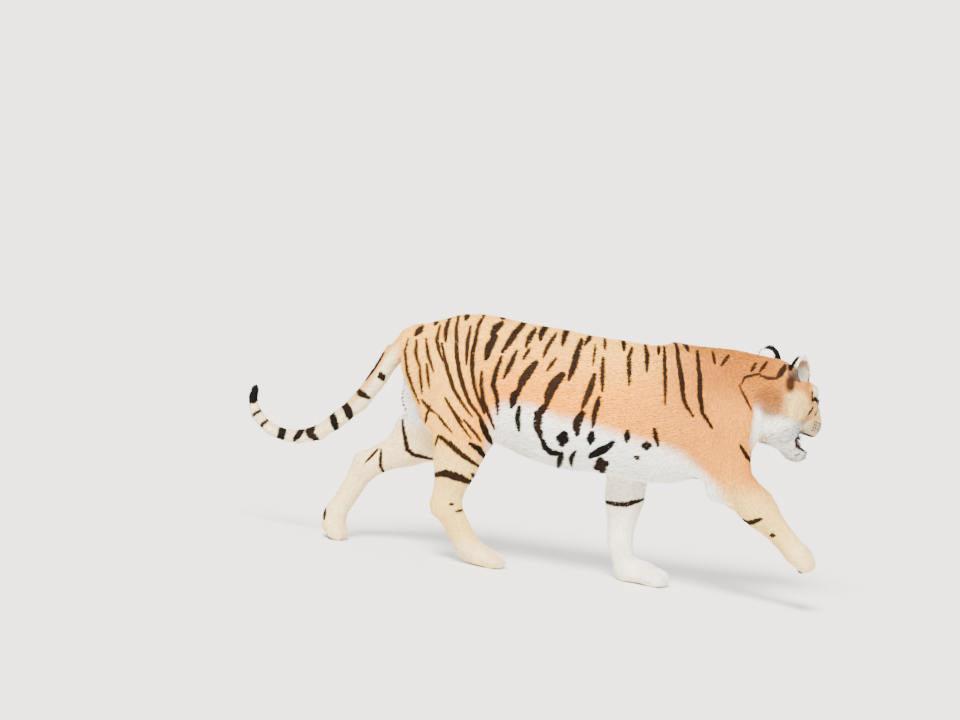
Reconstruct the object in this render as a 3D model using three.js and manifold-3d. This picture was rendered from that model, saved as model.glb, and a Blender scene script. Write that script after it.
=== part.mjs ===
// A walking tiger at life size, as a set of faceted solids that meet at thin cuts.
//
// Units are millimetres: X runs forward, Y to the animal's left, Z up, and the soles rest on Z = 0.
// The body is one soft shape, flesh(), made of a trunk barrel and tapered or egg-shaped muscles that
// melt into each other. Each node is that shape sampled over its own stretch: the thick middle with
// a box grid, the slender parts with rings of rays cast from an axis. Planes and boxes part them.
import * as THREE from "three";
import { mergeVertices } from "three/addons/utils/BufferGeometryUtils.js";
import Module from "manifold-3d";

const wasm = await Module();
wasm.setup();

const GAP = 0.4; // between neighbouring solids
const MIDDLE = new THREE.Vector3(-60.7, 24.5, 0); // the origin, in the coordinates used below
const LEFT = 1;
const RIGHT = -1;
const at = (x, y, z) => new THREE.Vector3(x, y, z);
const radians = THREE.MathUtils.degToRad;

// ---------------------------------------------------------------- proportions

// The trunk from croup to breast: x, back line, underline, half width.
const TRUNK = [
  [-606, 796, 748, 14],
  [-592, 818, 700, 46],
  [-556, 844, 650, 80],
  [-500, 870, 575, 108],
  [-440, 896, 515, 126],
  [-384, 914, 488, 136],
  [-320, 922, 476, 144],
  [-256, 922, 466, 150],
  [-176, 918, 440, 158],
  [-80, 914, 410, 168],
  [0, 913, 396, 175],
  [60, 907, 388, 177],
  [140, 904, 394, 174],
  [220, 902, 396, 166],
  [300, 900, 390, 158],
  [400, 902, 388, 150],
  [480, 900, 404, 142],
  [560, 888, 444, 130],
  [620, 868, 500, 112],
  [680, 838, 556, 86],
  [712, 806, 600, 58],
  [732, 760, 650, 24],
];
const BACK_NARROWING = 0.2; // how much slimmer the trunk is along the spine than low on the ribs

// Tail: the axis from the croup to the tip, and its radius there.
const TAIL = [
  [-560, 0, 806, 44],
  [-606, 0, 772, 43],
  [-636, 2, 714, 38],
  [-680, 6, 620, 36],
  [-730, 10, 532, 33],
  [-800, 14, 452, 31],
  [-868, 18, 390, 28],
  [-930, 22, 366, 25],
  [-990, 25, 362, 24],
  [-1050, 28, 378, 22],
  [-1097, 30, 414, 21],
  [-1126, 31, 462, 19],
  [-1128, 31, 500, 17],
  [-1124, 31, 516, 15],
];

// The head turns away to the animal's left and hangs down. Its own frame has X along the palate, its
// middle between the ears, and lengths that `size` brings up to this animal's.
const HEAD = {
  centre: at(802, 44, 794),
  turn: radians(46),
  drop: radians(14),
  tilt: radians(2),
  size: 1.16,
};

// Joints of the legs as x, distance from the midline, z.
const FORELEGS = {
  right: {
    side: RIGHT,
    blade: [430, 62, 868],
    shoulder: [652, 112, 665],
    elbow: [660, 122, 464],
    point: [612, 120, 412],
    calf: [776, 114, 372],
    wrist: [910, 100, 254],
    heel: [936, 97, 227],
    knuckles: [964, 94, 210],
    toes: [990, 93, 190],
    elbowShare: 0.35,
    flare: [1, 1, 1],
  },
  left: {
    side: LEFT,
    blade: [405, 62, 872],
    shoulder: [500, 114, 600],
    elbow: [300, 112, 430],
    point: [240, 112, 442],
    calf: [297, 98, 316],
    wrist: [302, 76, 140],
    heel: [341, 68, 34],
    knuckles: [412, 65, 40],
    toes: [471, 65, 28],
    elbowShare: 0.46,
    flare: [1.1, 1.16, 1.2],
  },
};
const HINDLEGS = {
  right: {
    side: RIGHT,
    hip: [-478, 92, 716],
    loin: [-380, 92, 770],
    seat: [-536, 80, 704],
    knee: [-316, 116, 470],
    calf: [-345, 108, 362],
    hock: [-360, 96, 208],
    heel: [-394, 96, 192],
    ball: [-257, 74, 63],
    knuckles: [-204, 68, 37],
    toes: [-142, 66, 25],
    flare: [1.15, 1.2, 1.2],
  },
  left: {
    side: LEFT,
    hip: [-478, 92, 716],
    loin: [-390, 96, 770],
    seat: [-520, 80, 690],
    knee: [-432, 116, 432],
    calf: [-535, 110, 374],
    hock: [-680, 92, 278],
    heel: [-704, 90, 306],
    ball: [-764, 72, 92],
    knuckles: [-763, 68, 50],
    toes: [-738, 66, 25],
    flare: [1, 1.05, 1],
  },
};

// ---------------------------------------------------------------- soft shapes as distances

// Joins two distances with a fillet about k across.
function melt(a, b, k) {
  const near = Math.max(k - Math.abs(a - b), 0) / k;
  return Math.min(a, b) - near * near * k * 0.25;
}

// A muscle or bone from a to b with radii ra and rb; flat under 1 makes it slimmer across.
function taper(a, b, ra, rb, flat = 1) {
  const run = b.clone().sub(a);
  const length2 = run.lengthSq();
  return (p) => {
    const dx = p.x - a.x;
    const dy = p.y - a.y;
    const dz = p.z - a.z;
    const share = Math.min(1, Math.max(0, (dx * run.x + dy * run.y + dz * run.z) / length2));
    const across = (dy - run.y * share) / flat;
    return Math.hypot(dx - run.x * share, across, dz - run.z * share) - (ra + (rb - ra) * share);
  };
}

// An egg of radii r about a centre.
function egg(c, r) {
  return (p) => {
    const x = (p.x - c.x) / r.x;
    const y = (p.y - c.y) / r.y;
    const z = (p.z - c.z) / r.z;
    const size = Math.hypot(x, y, z);
    return (size * (size - 1)) / Math.max(Math.hypot(x / r.x, y / r.y, z / r.z), 1e-9);
  };
}

// One distance from many, each with its own fillet: parts is a list of [distance, fillet].
function mass(parts) {
  return (p) => parts.reduce((d, [shape, k]) => melt(d, shape(p), k), 1e4);
}

// A smooth value at x through the rows of a table, column by column.
function along(table, x, column) {
  const last = table.length - 1;
  let i = 0;
  while (i < last - 1 && table[i + 1][0] < x) i++;
  const row = (n) => table[Math.min(last, Math.max(0, n))];
  const [before, a, b, after] = [i - 1, i, i + 1, i + 2].map(row);
  const t = Math.min(1, Math.max(0, (x - a[0]) / (b[0] - a[0])));
  const slope = (p, q) => ((q[column] - p[column]) / Math.max(q[0] - p[0], 1)) * (b[0] - a[0]);
  const ma = slope(before, b);
  const mb = slope(a, after);
  const t2 = t * t;
  const t3 = t2 * t;
  return (
    (2 * t3 - 3 * t2 + 1) * a[column] +
    (t3 - 2 * t2 + t) * ma +
    (3 * t2 - 2 * t3) * b[column] +
    (t3 - t2) * mb
  );
}

// The barrel of the trunk: an upright egg at each x, slimmer towards the spine.
function barrel(p) {
  const first = TRUNK[0][0];
  const last = TRUNK[TRUNK.length - 1][0];
  const x = Math.min(last, Math.max(first, p.x));
  const back = along(TRUNK, x, 1);
  const under = along(TRUNK, x, 2);
  const height = (back - under) / 2;
  const up = (p.z - (back + under) / 2) / height;
  const width = along(TRUNK, x, 3) * (1 - BACK_NARROWING * Math.min(1, Math.max(-1, up)));
  const size = Math.hypot(p.y / width, up);
  const rate = Math.max(Math.hypot(p.y / width / width, up / height), 1e-9);
  const d = (size * (size - 1)) / rate;
  return p.x === x ? d : Math.hypot(Math.max(d, 0), p.x - x);
}

const joint = (leg, name) => at(leg[name][0], leg[name][1] * leg.side, leg[name][2]);

// Toes fan out across a paw from its knuckles; each is an egg.
function paw(leg, { width, spread, thick }) {
  const knuckles = joint(leg, "knuckles");
  const toes = joint(leg, "toes");
  const run = toes.clone().sub(knuckles);
  const parts = [];
  for (const step of [-1.5, -0.5, 0.5, 1.5]) {
    const outer = Math.abs(step) > 1;
    const root = knuckles.clone().add(at(outer ? -6 : 0, step * width * 0.24, outer ? -4 : 0));
    const tip = toes.clone().add(at(outer ? -12 : 2, step * spread * 0.27, outer ? -3 : 0));
    parts.push([taper(root, tip, thick * 0.74, thick * 0.68, 0.86), 10]);
  }
  const behind = knuckles.clone().addScaledVector(run, -0.35);
  parts.push([taper(behind, knuckles, thick * 0.9, thick * 0.8), 22]);
  return parts;
}

// flare widens a leg seen from the side at its calf, its wrist or hock, and just above the foot.
function foreleg(leg) {
  const j = (name) => joint(leg, name);
  const [calf, wrist, heel] = leg.flare;
  return mass([
    [taper(j("blade"), j("shoulder"), 52, 76, 0.72), 60],
    [taper(j("shoulder"), j("elbow"), 74, 68, 0.8), 50],
    [taper(j("blade").add(at(-30, 0, -110)), j("point"), 62, 34, 0.75), 60],
    [taper(j("elbow"), j("calf"), 70, 66 * calf, 0.82), 40],
    [taper(j("calf"), j("wrist"), 66 * calf, 37 * wrist, 0.86), 30],
    [taper(j("point"), j("calf"), 30, 40 * calf, 0.9), 30],
    [taper(j("wrist"), j("heel"), 37 * wrist, 33 * heel, 0.95), 24],
    [taper(j("heel"), j("knuckles"), 34, 36, 1.3), 24],
    ...paw(leg, { width: 104, spread: 112, thick: 47 }),
  ]);
}

function hindleg(leg) {
  const j = (name) => joint(leg, name);
  const [calf, hock, ball] = leg.flare;
  return mass([
    [taper(j("loin"), j("knee"), 84, 84, 0.68), 60],
    [taper(j("hip"), j("knee"), 96, 76, 0.72), 60],
    [taper(j("seat"), j("calf"), 62, 62, 0.78), 60],
    [taper(j("knee"), j("calf"), 72, 62 * calf, 0.8), 40],
    [taper(j("calf"), j("hock"), 62 * calf, 42 * hock, 0.78), 34],
    [taper(j("calf"), j("heel"), 44, 26, 0.8), 30],
    [taper(j("hock"), j("ball"), 42 * hock, 37 * ball, 0.85), 26],
    [taper(j("heel"), j("hock"), 28, 38, 0.85), 24],
    [taper(j("ball"), j("knuckles"), 37, 35, 1.2), 24],
    ...paw(leg, { width: 92, spread: 100, thick: 43 }),
  ]);
}

// ---------------------------------------------------------------- the head, in its own frame

// Both halves of the face from one list: mirrored(y => [shapes]).
const mirrored = (make) => [LEFT, RIGHT].flatMap((side) => make(side));

const EYE = { x: 123, y: 49, z: 7, radius: 17 };
const EAR = { x: -13, y: 69, z: 67 };

const skull = mass([
  [egg(at(-8, 0, 4), at(92, 82, 74)), 10],
  [egg(at(66, 0, 8), at(70, 72, 54)), 40],
  [taper(at(100, 0, 3), at(175, 0, -27), 47, 38), 36],
  ...mirrored((s) => [
    [egg(at(6, s * 56, -40), at(80, 58, 76)), 40],
    [egg(at(-30, s * 64, -88), at(64, 55, 78)), 36],
    [egg(at(24, s * 44, -122), at(62, 42, 54)), 30],
    [egg(at(68, s * 50, -30), at(56, 42, 52)), 36],
    [taper(at(88, s * 54, 33), at(128, s * 34, 31), 25, 17), 22],
    [taper(at(90, s * 64, -30), at(126, s * 46, -38), 24, 20), 22],
    [egg(at(136, s * 28, -54), at(52, 32, 44)), 26],
    [egg(at(159, s * 32, -66), at(40, 38, 44)), 16],
    [egg(at(183, s * 19, -67), at(27, 32, 40)), 14],
  ]),
  [egg(at(196, 0, -28), at(20, 29, 20)), 14],
  [egg(at(12, 0, -100), at(92, 74, 56)), 40],
]);
const mandible = mass([
  ...mirrored((s) => [
    [taper(at(20, s * 48, -98), at(104, s * 34, -132), 42, 31), 30],
    [taper(at(104, s * 32, -136), at(168, s * 18, -161), 31, 24), 30],
  ]),
  [egg(at(180, 0, -161), at(33, 35, 27)), 20],
  [egg(at(56, 0, -124), at(70, 46, 38)), 30],
]);
const skullShape = (p) => skull(p) * HEAD.size;
const jawShape = (p) => melt(skull(p), mandible(p), 8) * HEAD.size;

const headTurn = new THREE.Matrix4()
  .makeRotationZ(HEAD.turn)
  .multiply(new THREE.Matrix4().makeRotationY(HEAD.drop))
  .multiply(new THREE.Matrix4().makeRotationX(HEAD.tilt))
  .scale(at(HEAD.size, HEAD.size, HEAD.size));
headTurn.setPosition(HEAD.centre);
const headBack = headTurn.clone().invert();
const scratch = new THREE.Vector3();
const fromHead = (x, y, z) => at(x, y, z).applyMatrix4(headTurn);

const tailPoints = TAIL.map(([x, y, z]) => at(x, y, z));
const tailShape = mass(
  tailPoints.slice(1).map((b, i) => [taper(tailPoints[i], b, TAIL[i][3], TAIL[i + 1][3]), 12]),
);
const neckShape = mass([
  [taper(at(470, 0, 760), at(640, 8, 780), 140, 122, 0.86), 60],
  [taper(at(640, 8, 780), fromHead(-40, 0, -22), 122, 112, 0.86), 60],
  [taper(at(560, 0, 820), fromHead(-50, 0, 10), 84, 82, 0.8), 60],
]);
const limbs = [
  foreleg(FORELEGS.right),
  foreleg(FORELEGS.left),
  hindleg(HINDLEGS.right),
  hindleg(HINDLEGS.left),
];

function flesh(p) {
  let d = melt(barrel(p), neckShape(p), 70);
  for (const limb of limbs) d = melt(d, limb(p), 44);
  d = melt(d, tailShape(p), 30);
  return melt(d, skullShape(scratch.copy(p).applyMatrix4(headBack)), 50);
}
const jawFlesh = (p) => melt(flesh(p) + 7, jawShape(scratch.copy(p).applyMatrix4(headBack)), 20);

// ---------------------------------------------------------------- sampling a shape

// Puts a point on the surface by stepping down the distance.
function settle(field, p, steps) {
  const e = 0.5;
  for (let n = 0; n < steps; n++) {
    const d = field(p);
    const g = at(
      field(at(p.x + e, p.y, p.z)) - field(at(p.x - e, p.y, p.z)),
      field(at(p.x, p.y + e, p.z)) - field(at(p.x, p.y - e, p.z)),
      field(at(p.x, p.y, p.z + e)) - field(at(p.x, p.y, p.z - e)),
    ).divideScalar(2 * e);
    p.addScaledVector(g, -d / Math.max(g.lengthSq(), 0.2));
  }
  return p;
}

// A closed mesh of the surface inside a box, one corner in each grid cell that the surface crosses.
function boxGrid(field, low, high, cell) {
  const size = high.clone().sub(low);
  const [nx, ny, nz] = [size.x / cell.x, size.y / cell.y, size.z / cell.z].map((n) => Math.ceil(n) + 1);
  const value = new Float64Array(nx * ny * nz);
  const index = (i, j, k) => (k * ny + j) * nx + i;
  const corner = (i, j, k) => at(low.x + i * cell.x, low.y + j * cell.y, low.z + k * cell.z);
  const rim = (i, n) => i === 0 || i === n - 1;
  for (let k = 0; k < nz; k++)
    for (let j = 0; j < ny; j++)
      for (let i = 0; i < nx; i++) {
        const d = field(corner(i, j, k));
        value[index(i, j, k)] = rim(i, nx) || rim(j, ny) || rim(k, nz) ? Math.max(d, 1) : d;
      }
  const cellPoint = new Map();
  const positions = [];
  const pointOf = (i, j, k) => {
    const key = index(i, j, k);
    if (cellPoint.has(key)) return cellPoint.get(key);
    const sum = at(0, 0, 0);
    let count = 0;
    const corners = [];
    for (let n = 0; n < 8; n++) corners.push([i + (n & 1), j + ((n >> 1) & 1), k + (n >> 2)]);
    for (let a = 0; a < 8; a++)
      for (const bit of [1, 2, 4]) {
        const b = a | bit;
        if (b === a) continue;
        const va = value[index(...corners[a])];
        const vb = value[index(...corners[b])];
        if (va < 0 === vb < 0) continue;
        sum.add(corner(...corners[a]).lerp(corner(...corners[b]), va / (va - vb)));
        count++;
      }
    sum.divideScalar(count);
    const inside = [i, j, k].every((n, axis) => n > 0 && n < [nx, ny, nz][axis] - 2);
    const settled = inside ? settle(field, sum.clone(), 2) : sum;
    positions.push(settled.distanceTo(sum) < 0.3 * cell.y ? settled : sum);
    cellPoint.set(key, positions.length - 1);
    return positions.length - 1;
  };
  const faces = [];
  const step = [[1, 0, 0], [0, 1, 0], [0, 0, 1]];
  for (let k = 0; k < nz - 1; k++)
    for (let j = 0; j < ny - 1; j++)
      for (let i = 0; i < nx - 1; i++)
        for (let axis = 0; axis < 3; axis++) {
          const [di, dj, dk] = step[axis];
          if ([i, j, k].some((n, other) => other !== axis && n === 0)) continue;
          const va = value[index(i, j, k)];
          const vb = value[index(i + di, j + dj, k + dk)];
          if (va < 0 === vb < 0) continue;
          const [u, v] = [step[(axis + 1) % 3], step[(axis + 2) % 3]];
          const ring = [[0, 0], [1, 0], [1, 1], [0, 1]].map(([m, n]) =>
            pointOf(i - m * u[0] - n * v[0], j - m * u[1] - n * v[1], k - m * u[2] - n * v[2]),
          );
          if (va >= 0) ring.reverse();
          faces.push([ring[0], ring[1], ring[2]], [ring[0], ring[2], ring[3]]);
        }
  return geometryOf(positions, faces);
}

function geometryOf(points, faces) {
  return new THREE.BufferGeometry().setFromPoints(points).setIndex(faces.flat());
}

// How far a ray goes inside the shape before it comes out.
function reach(field, from, direction, limit) {
  const p = new THREE.Vector3();
  let inside = 0;
  let outside = 0;
  const stride = 5;
  while (outside < limit) {
    outside = Math.min(limit, outside + stride);
    if (field(p.copy(from).addScaledVector(direction, outside)) > 0) break;
    inside = outside;
  }
  if (inside === outside) return limit;
  for (let n = 0; n < 12; n++) {
    const middle = (inside + outside) / 2;
    if (field(p.copy(from).addScaledVector(direction, middle)) > 0) outside = middle;
    else inside = middle;
  }
  return inside;
}

// Rings of rays across an axis. A slice is { at, along, up }; the ends are cut flat, or rounded off
// over so many rings where `nose` or `tail` says so.
function rings(field, slices, sides, { nose = 0, tail = 0, limit = 400 } = {}) {
  const points = [];
  const addRing = (centre, forward, up, lean) => {
    const across = up.clone().cross(forward).normalize();
    const over = forward.clone().cross(across).normalize();
    for (let n = 0; n < sides; n++) {
      const angle = (2 * Math.PI * n) / sides;
      const out = across.clone().multiplyScalar(Math.cos(angle)).addScaledVector(over, Math.sin(angle));
      out.multiplyScalar(Math.cos(lean)).addScaledVector(forward, Math.sin(lean));
      points.push(centre.clone().addScaledVector(out, reach(field, centre, out, limit)));
    }
  };
  const first = slices[0];
  const last = slices[slices.length - 1];
  const lean = (n, count) => (n * Math.PI) / 2 / (count + 1);
  for (let n = tail; n > 0; n--) addRing(first.at, first.along, first.up, -lean(n, tail));
  for (const slice of slices) addRing(slice.at, slice.along, slice.up, 0);
  for (let n = 1; n <= nose; n++) addRing(last.at, last.along, last.up, lean(n, nose));
  const count = points.length / sides;
  const poleAt = (slice, sign, rounded) => {
    if (!rounded) return slice.at;
    const way = slice.along.clone().multiplyScalar(sign);
    return slice.at.clone().addScaledVector(way, reach(field, slice.at, way, limit));
  };
  points.push(poleAt(first, -1, tail), poleAt(last, 1, nose));
  const [start, end] = [points.length - 2, points.length - 1];
  const faces = [];
  for (let r = 0; r < count; r++)
    for (let n = 0; n < sides; n++) {
      const m = (n + 1) % sides;
      const [a, b] = [r * sides + n, r * sides + m];
      if (r === 0) faces.push([start, b, a]);
      if (r === count - 1) faces.push([end, a, b]);
      else faces.push([a, b, b + sides], [a, b + sides, a + sides]);
    }
  return geometryOf(points, faces);
}

// Slices between two cut planes, evenly spaced and turning from one to the other.
function between(from, to, count) {
  return Array.from({ length: count }, (_, n) => {
    const t = n / (count - 1);
    return {
      at: from.at.clone().lerp(to.at, t),
      along: from.along.clone().lerp(to.along, t).normalize(),
      up: from.up,
    };
  });
}

// ---------------------------------------------------------------- solids

function solid(geometry) {
  const bare = new THREE.BufferGeometry().setAttribute("position", geometry.getAttribute("position"));
  bare.setIndex(geometry.index);
  const merged = mergeVertices(bare, 1e-4);
  const vertProperties = new Float32Array(merged.attributes.position.array);
  const triVerts = new Uint32Array(merged.index.array);
  return new wasm.Manifold(new wasm.Mesh({ numProp: 3, vertProperties, triVerts }));
}

function toGeometry(made) {
  const mesh = made.getMesh();
  return new THREE.BufferGeometry()
    .setAttribute("position", new THREE.BufferAttribute(new Float32Array(mesh.vertProperties), 3))
    .setIndex(new THREE.BufferAttribute(new Uint32Array(mesh.triVerts), 1));
}

// The largest body of a cut, without crumbs.
function whole(made) {
  return made.decompose().sort((a, b) => b.volume() - a.volume())[0];
}

// What lies ahead of, or behind, a cut plane, half a gap away from it.
const ahead = (made, cut) => made.trimByPlane(cut.along.toArray(), cut.along.dot(cut.at) + GAP / 2);
const behind = (made, cut) => {
  const back = cut.along.clone().negate();
  return made.trimByPlane(back.toArray(), back.dot(cut.at) + GAP / 2);
};
const plane = (x, y, z, along) => ({ at: at(x, y, z), along: along.normalize(), up: at(0, 0, 1) });
const shifted = (cut, by) => ({ ...cut, at: cut.at.clone().addScaledVector(cut.along, by) });

// ---------------------------------------------------------------- nodes

const tiger = new THREE.Group();
const FINISH = {
  coat: { color: 0xd98a45, roughness: 0.85 },
  pale: { color: 0xece6d8, roughness: 0.85 },
  dark: { color: 0x2a1d16, roughness: 0.5 },
  eye: { color: 0x8a6a1c, roughness: 0.15 },
  pink: { color: 0xb5716a, roughness: 0.5 },
};
function node(name, made, finish) {
  const material = new THREE.MeshStandardMaterial({ ...FINISH[finish], metalness: 0 });
  const mesh = new THREE.Mesh(toGeometry(whole(made)), material);
  mesh.name = name;
  tiger.add(mesh);
}

// The planes that part the body.
const rumpCut = plane(-215, 0, 690, at(1, 0, 0));
const bellyCut = plane(175, 0, 650, at(1, 0, 0));
const neckCut = plane(620, 5, 785, at(0.72, 0.05, 0.69));
const napeCut = plane(738, 18, 790, at(0.93, 0.34, -0.1));

const CROTCH = 452; // the rump ends here between the thighs
const BRISKET = 384; // and the chest here between the forearms
const CLEARANCE = 2; // between a trunk node and the inside of a lower leg
// The tail parts from the rump this share of the way along its axis.
const TAIL_START = 0.1;
const TAIL_HOLD = 56; // the tail's root takes in this much of the rump round its axis
const tailPath = new THREE.CatmullRomCurve3(tailPoints);

// Everything thick, sampled as one: trunk, neck and the roots of the legs.
const core = solid(boxGrid(flesh, at(-724, -250, 250), at(900, 260, 990), at(63, 43.5, 43.5)));

// A box on one side of the body whose inner face leans out towards the top by `lean`.
function rootBox(leg, x0, x1, inner, innerZ, lean, grow) {
  const size = at(x1 - x0 + 2 * grow, 400, 1400);
  const box = new THREE.BoxGeometry(size.x, size.y, size.z);
  box.translate(0, leg.side * (size.y / 2 - grow), 0);
  box.rotateX(-leg.side * radians(lean));
  box.translate((x0 + x1) / 2, leg.side * inner, innerZ);
  box.deleteAttribute("normal");
  box.deleteAttribute("uv");
  return solid(box);
}
const thighFront = (leg) => (leg === HINDLEGS.left ? -330 : -225);
const thighBox = (leg, grow) => rootBox(leg, -700, thighFront(leg), 48, 470, 18, grow);
const armBox = (leg, grow, front = leg === FORELEGS.left ? 540 : 790) =>
  rootBox(leg, leg === FORELEGS.left ? 190 : 500, front, 74, 440, 9, grow);

const roots = [
  ...Object.values(HINDLEGS).map((leg) => (grow) => thighBox(leg, grow)),
  (grow) => armBox(FORELEGS.left, grow),
  (grow) => armBox(FORELEGS.right, grow, 1100),
];
const trunk = roots.reduce((made, box) => made.subtract(box(GAP)), core);

const limbUp = at(1, 0, 0);
function legPlane(leg, name, toward, share = 0) {
  const from = joint(leg, name);
  const to = joint(leg, toward);
  return { at: from.clone().lerp(to, share), along: to.clone().sub(from).normalize(), up: limbUp };
}

// The lower leg down to the next cut, made fuller by `grow`.
function lowerLeg(from, to, grow = 0) {
  const slices = between(shifted(from, GAP / 2), shifted(to, -GAP / 2), 7);
  return solid(rings((p) => flesh(p) - grow, slices, 14, { limit: 130 }));
}
const elbowCuts = {};
const wristCuts = {};
for (const [name, leg] of Object.entries(FORELEGS)) {
  elbowCuts[name] = legPlane(leg, "elbow", "calf", leg.elbowShare);
  wristCuts[name] = legPlane(leg, "calf", "wrist", 0.93);
}
const kneeCuts = {};
const hockCuts = {};
for (const [name, leg] of Object.entries(HINDLEGS)) {
  kneeCuts[name] = legPlane(leg, "knee", "calf", 0.3);
  hockCuts[name] = legPlane(leg, "calf", "hock", 0.62);
}

// A round plug behind the tail's first cut, to clear the rump of its root.
const tailPlug = new THREE.CylinderGeometry(TAIL_HOLD + 1, TAIL_HOLD + 1, 300, 22).translate(0, 150, 0);
tailPlug.rotateX(Math.PI / 2).lookAt(tailPath.getTangentAt(TAIL_START));
tailPlug.translate(...tailPath.getPointAt(TAIL_START).toArray());
tailPlug.deleteAttribute("normal");
tailPlug.deleteAttribute("uv");

const rump = behind(trunk, rumpCut)
  .subtract(solid(tailPlug))
  .subtract(lowerLeg(kneeCuts.left, hockCuts.left, CLEARANCE))
  .trimByPlane([0, 0, 1], CROTCH);
node("rump", rump, "coat");
const middle = between(shifted(rumpCut, GAP / 2), shifted(bellyCut, -GAP / 2), 9);
node("belly", solid(rings(flesh, middle, 22, { limit: 400 })), "coat");
const chest = behind(ahead(trunk, bellyCut), neckCut)
  .subtract(lowerLeg(elbowCuts.right, wristCuts.right, CLEARANCE))
  .subtract(lowerLeg(elbowCuts.left, wristCuts.left, CLEARANCE))
  .trimByPlane([0, 0, 1], BRISKET);
node("chest", chest, "coat");
node("neck", behind(ahead(trunk, neckCut), napeCut), "coat");

// Slices along a smooth path through joints of a leg, ending `short` of the last.
function slicesAlong(leg, names, count, short = 0) {
  const path = new THREE.CatmullRomCurve3(names.map((name) => joint(leg, name)), false, "centripetal");
  const last = 1 - short / path.getLength();
  return Array.from({ length: count }, (_, n) => {
    const u = (last * n) / (count - 1);
    return { at: path.getPointAt(u), along: path.getTangentAt(u), up: at(0.6, 0, 0.8) };
  });
}

for (const [name, leg] of Object.entries(FORELEGS)) {
  const wristCut = wristCuts[name];
  node(`${name}_upper_arm`, behind(core.intersect(armBox(leg, 0)), elbowCuts[name]), "coat");
  node(`${name}_forearm`, lowerLeg(elbowCuts[name], wristCut), "coat");
  leg.cuff = wristCut.at.clone().addScaledVector(wristCut.along, GAP / 2).toArray();
  leg.cuff[1] *= leg.side;
  const hand = slicesAlong(leg, ["cuff", "wrist", "heel", "knuckles", "toes"], 8, 4);
  const way = joint(leg, "toes").sub(joint(leg, "knuckles")).normalize();
  // The rings turn evenly from wrist to toes, so that none crosses its neighbour in the bend.
  hand.forEach((slice, n) => {
    slice.along = wristCut.along.clone().lerp(way, n / (hand.length - 1)).normalize();
  });
  const paw = ahead(solid(rings(flesh, hand, 15, { nose: 3, limit: 120 })), wristCut);
  node(`${name}_fore_paw`, paw.trimByPlane([0, 0, 1], 0), "pale");
}

for (const [name, leg] of Object.entries(HINDLEGS)) {
  const hockCut = hockCuts[name];
  const ballCut = legPlane(leg, "hock", "ball", 0.86);
  node(`${name}_thigh`, behind(core.intersect(thighBox(leg, 0)), kneeCuts[name]), "coat");
  node(`${name}_shank`, lowerLeg(kneeCuts[name], hockCut), "coat");
  const hock = between(shifted(hockCut, GAP / 2), shifted(ballCut, -GAP / 2), 8);
  node(`${name}_hock`, solid(rings(flesh, hock, 13, { limit: 120 })), "coat");
  const way = joint(leg, "toes").sub(joint(leg, "knuckles")).normalize();
  const start = { at: joint(leg, "ball").addScaledVector(way, 4), along: way, up: at(0, 0, 1) };
  const end = { at: joint(leg, "toes").addScaledVector(way, -8), along: way, up: at(0, 0, 1) };
  const foot = solid(rings(flesh, between(start, end, 5), 15, { nose: 3, tail: 2, limit: 120 }));
  node(`${name}_hind_paw`, ahead(foot, ballCut).trimByPlane([0, 0, 1], 0), "pale");
}

// The head: rings that fan round from the nape to the muzzle.
const headUp = at(0, 0, 1).transformDirection(headTurn);
const headAlong = at(1, 0, 0).transformDirection(headTurn);
const STRAIGHT = 120; // from here on the rings stand square to the palate
const HEAD_STATIONS = [-50, -22, 6, 34, 58, 78, 97, 112, 126, 140, 153, 166, 179, 191];
const headMiddle = (x) => fromHead(x, 0, x < 60 ? -34 : -34 - (x - 60) * 0.24);
const headSlices = [
  { ...shifted(napeCut, GAP / 2), up: headUp },
  ...HEAD_STATIONS.map((x) => {
    const share = Math.min(1, (x + 66) / (STRAIGHT + 66));
    const along = napeCut.along.clone().lerp(headAlong, share).normalize();
    return { at: headMiddle(x), along, up: headUp };
  }),
];
const headFlesh = solid(rings(flesh, headSlices, 26, { nose: 3, limit: 260 }));
const jawSlices = [50, 72, 94, 115, 135, 154, 172, 188].map((x) => ({
  at: fromHead(x, 0, -120 - (x - 60) * 0.32),
  along: headAlong,
  up: headUp,
}));
const jawBody = solid(rings(jawFlesh, jawSlices, 16, { nose: 3, limit: 110 }));

// A prism across the head from corners given as x, z in the head's own frame.
function headPrism(corners, halfWidth) {
  const outline = new THREE.Shape(corners.map(([x, z]) => new THREE.Vector2(x, z)));
  const prism = new THREE.ExtrudeGeometry(outline, { depth: 2 * halfWidth, bevelEnabled: false });
  prism.translate(0, 0, -halfWidth).rotateX(Math.PI / 2).applyMatrix4(headTurn);
  prism.deleteAttribute("normal");
  prism.deleteAttribute("uv");
  return solid(prism);
}
function ball(radius, across, high) {
  const sphere = new THREE.SphereGeometry(radius, across, high);
  sphere.deleteAttribute("normal");
  sphere.deleteAttribute("uv");
  return sphere;
}

// The mouth hangs a little open; the lower jaw parts from the head behind its corners.
const mouthSpace = [[76, -114], [92, -101], [290, -101], [290, -153], [100, -136]];
const mouth = headPrism(mouthSpace, 90);
const jawBox = headPrism([[76, -113], [290, -111], [290, -240], [48, -240], [62, -146]], 140);
const jawKerfOutline = [[75.6, -112.8], [290, -110.6], [291, -241], [47.6, -241], [61.6, -146]];
const jawKerf = headPrism(jawKerfOutline, 141);

// Eyes, in sockets that fit them.
const eyes = {};
const sockets = [];
for (const [name, side] of [["left", LEFT], ["right", RIGHT]]) {
  const middle = fromHead(EYE.x, side * EYE.y, EYE.z);
  const radius = EYE.radius * HEAD.size;
  eyes[name] = solid(ball(radius, 10, 7).translate(...middle.toArray()));
  sockets.push(solid(ball(radius + GAP, 10, 7).translate(...middle.toArray())));
}

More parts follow.
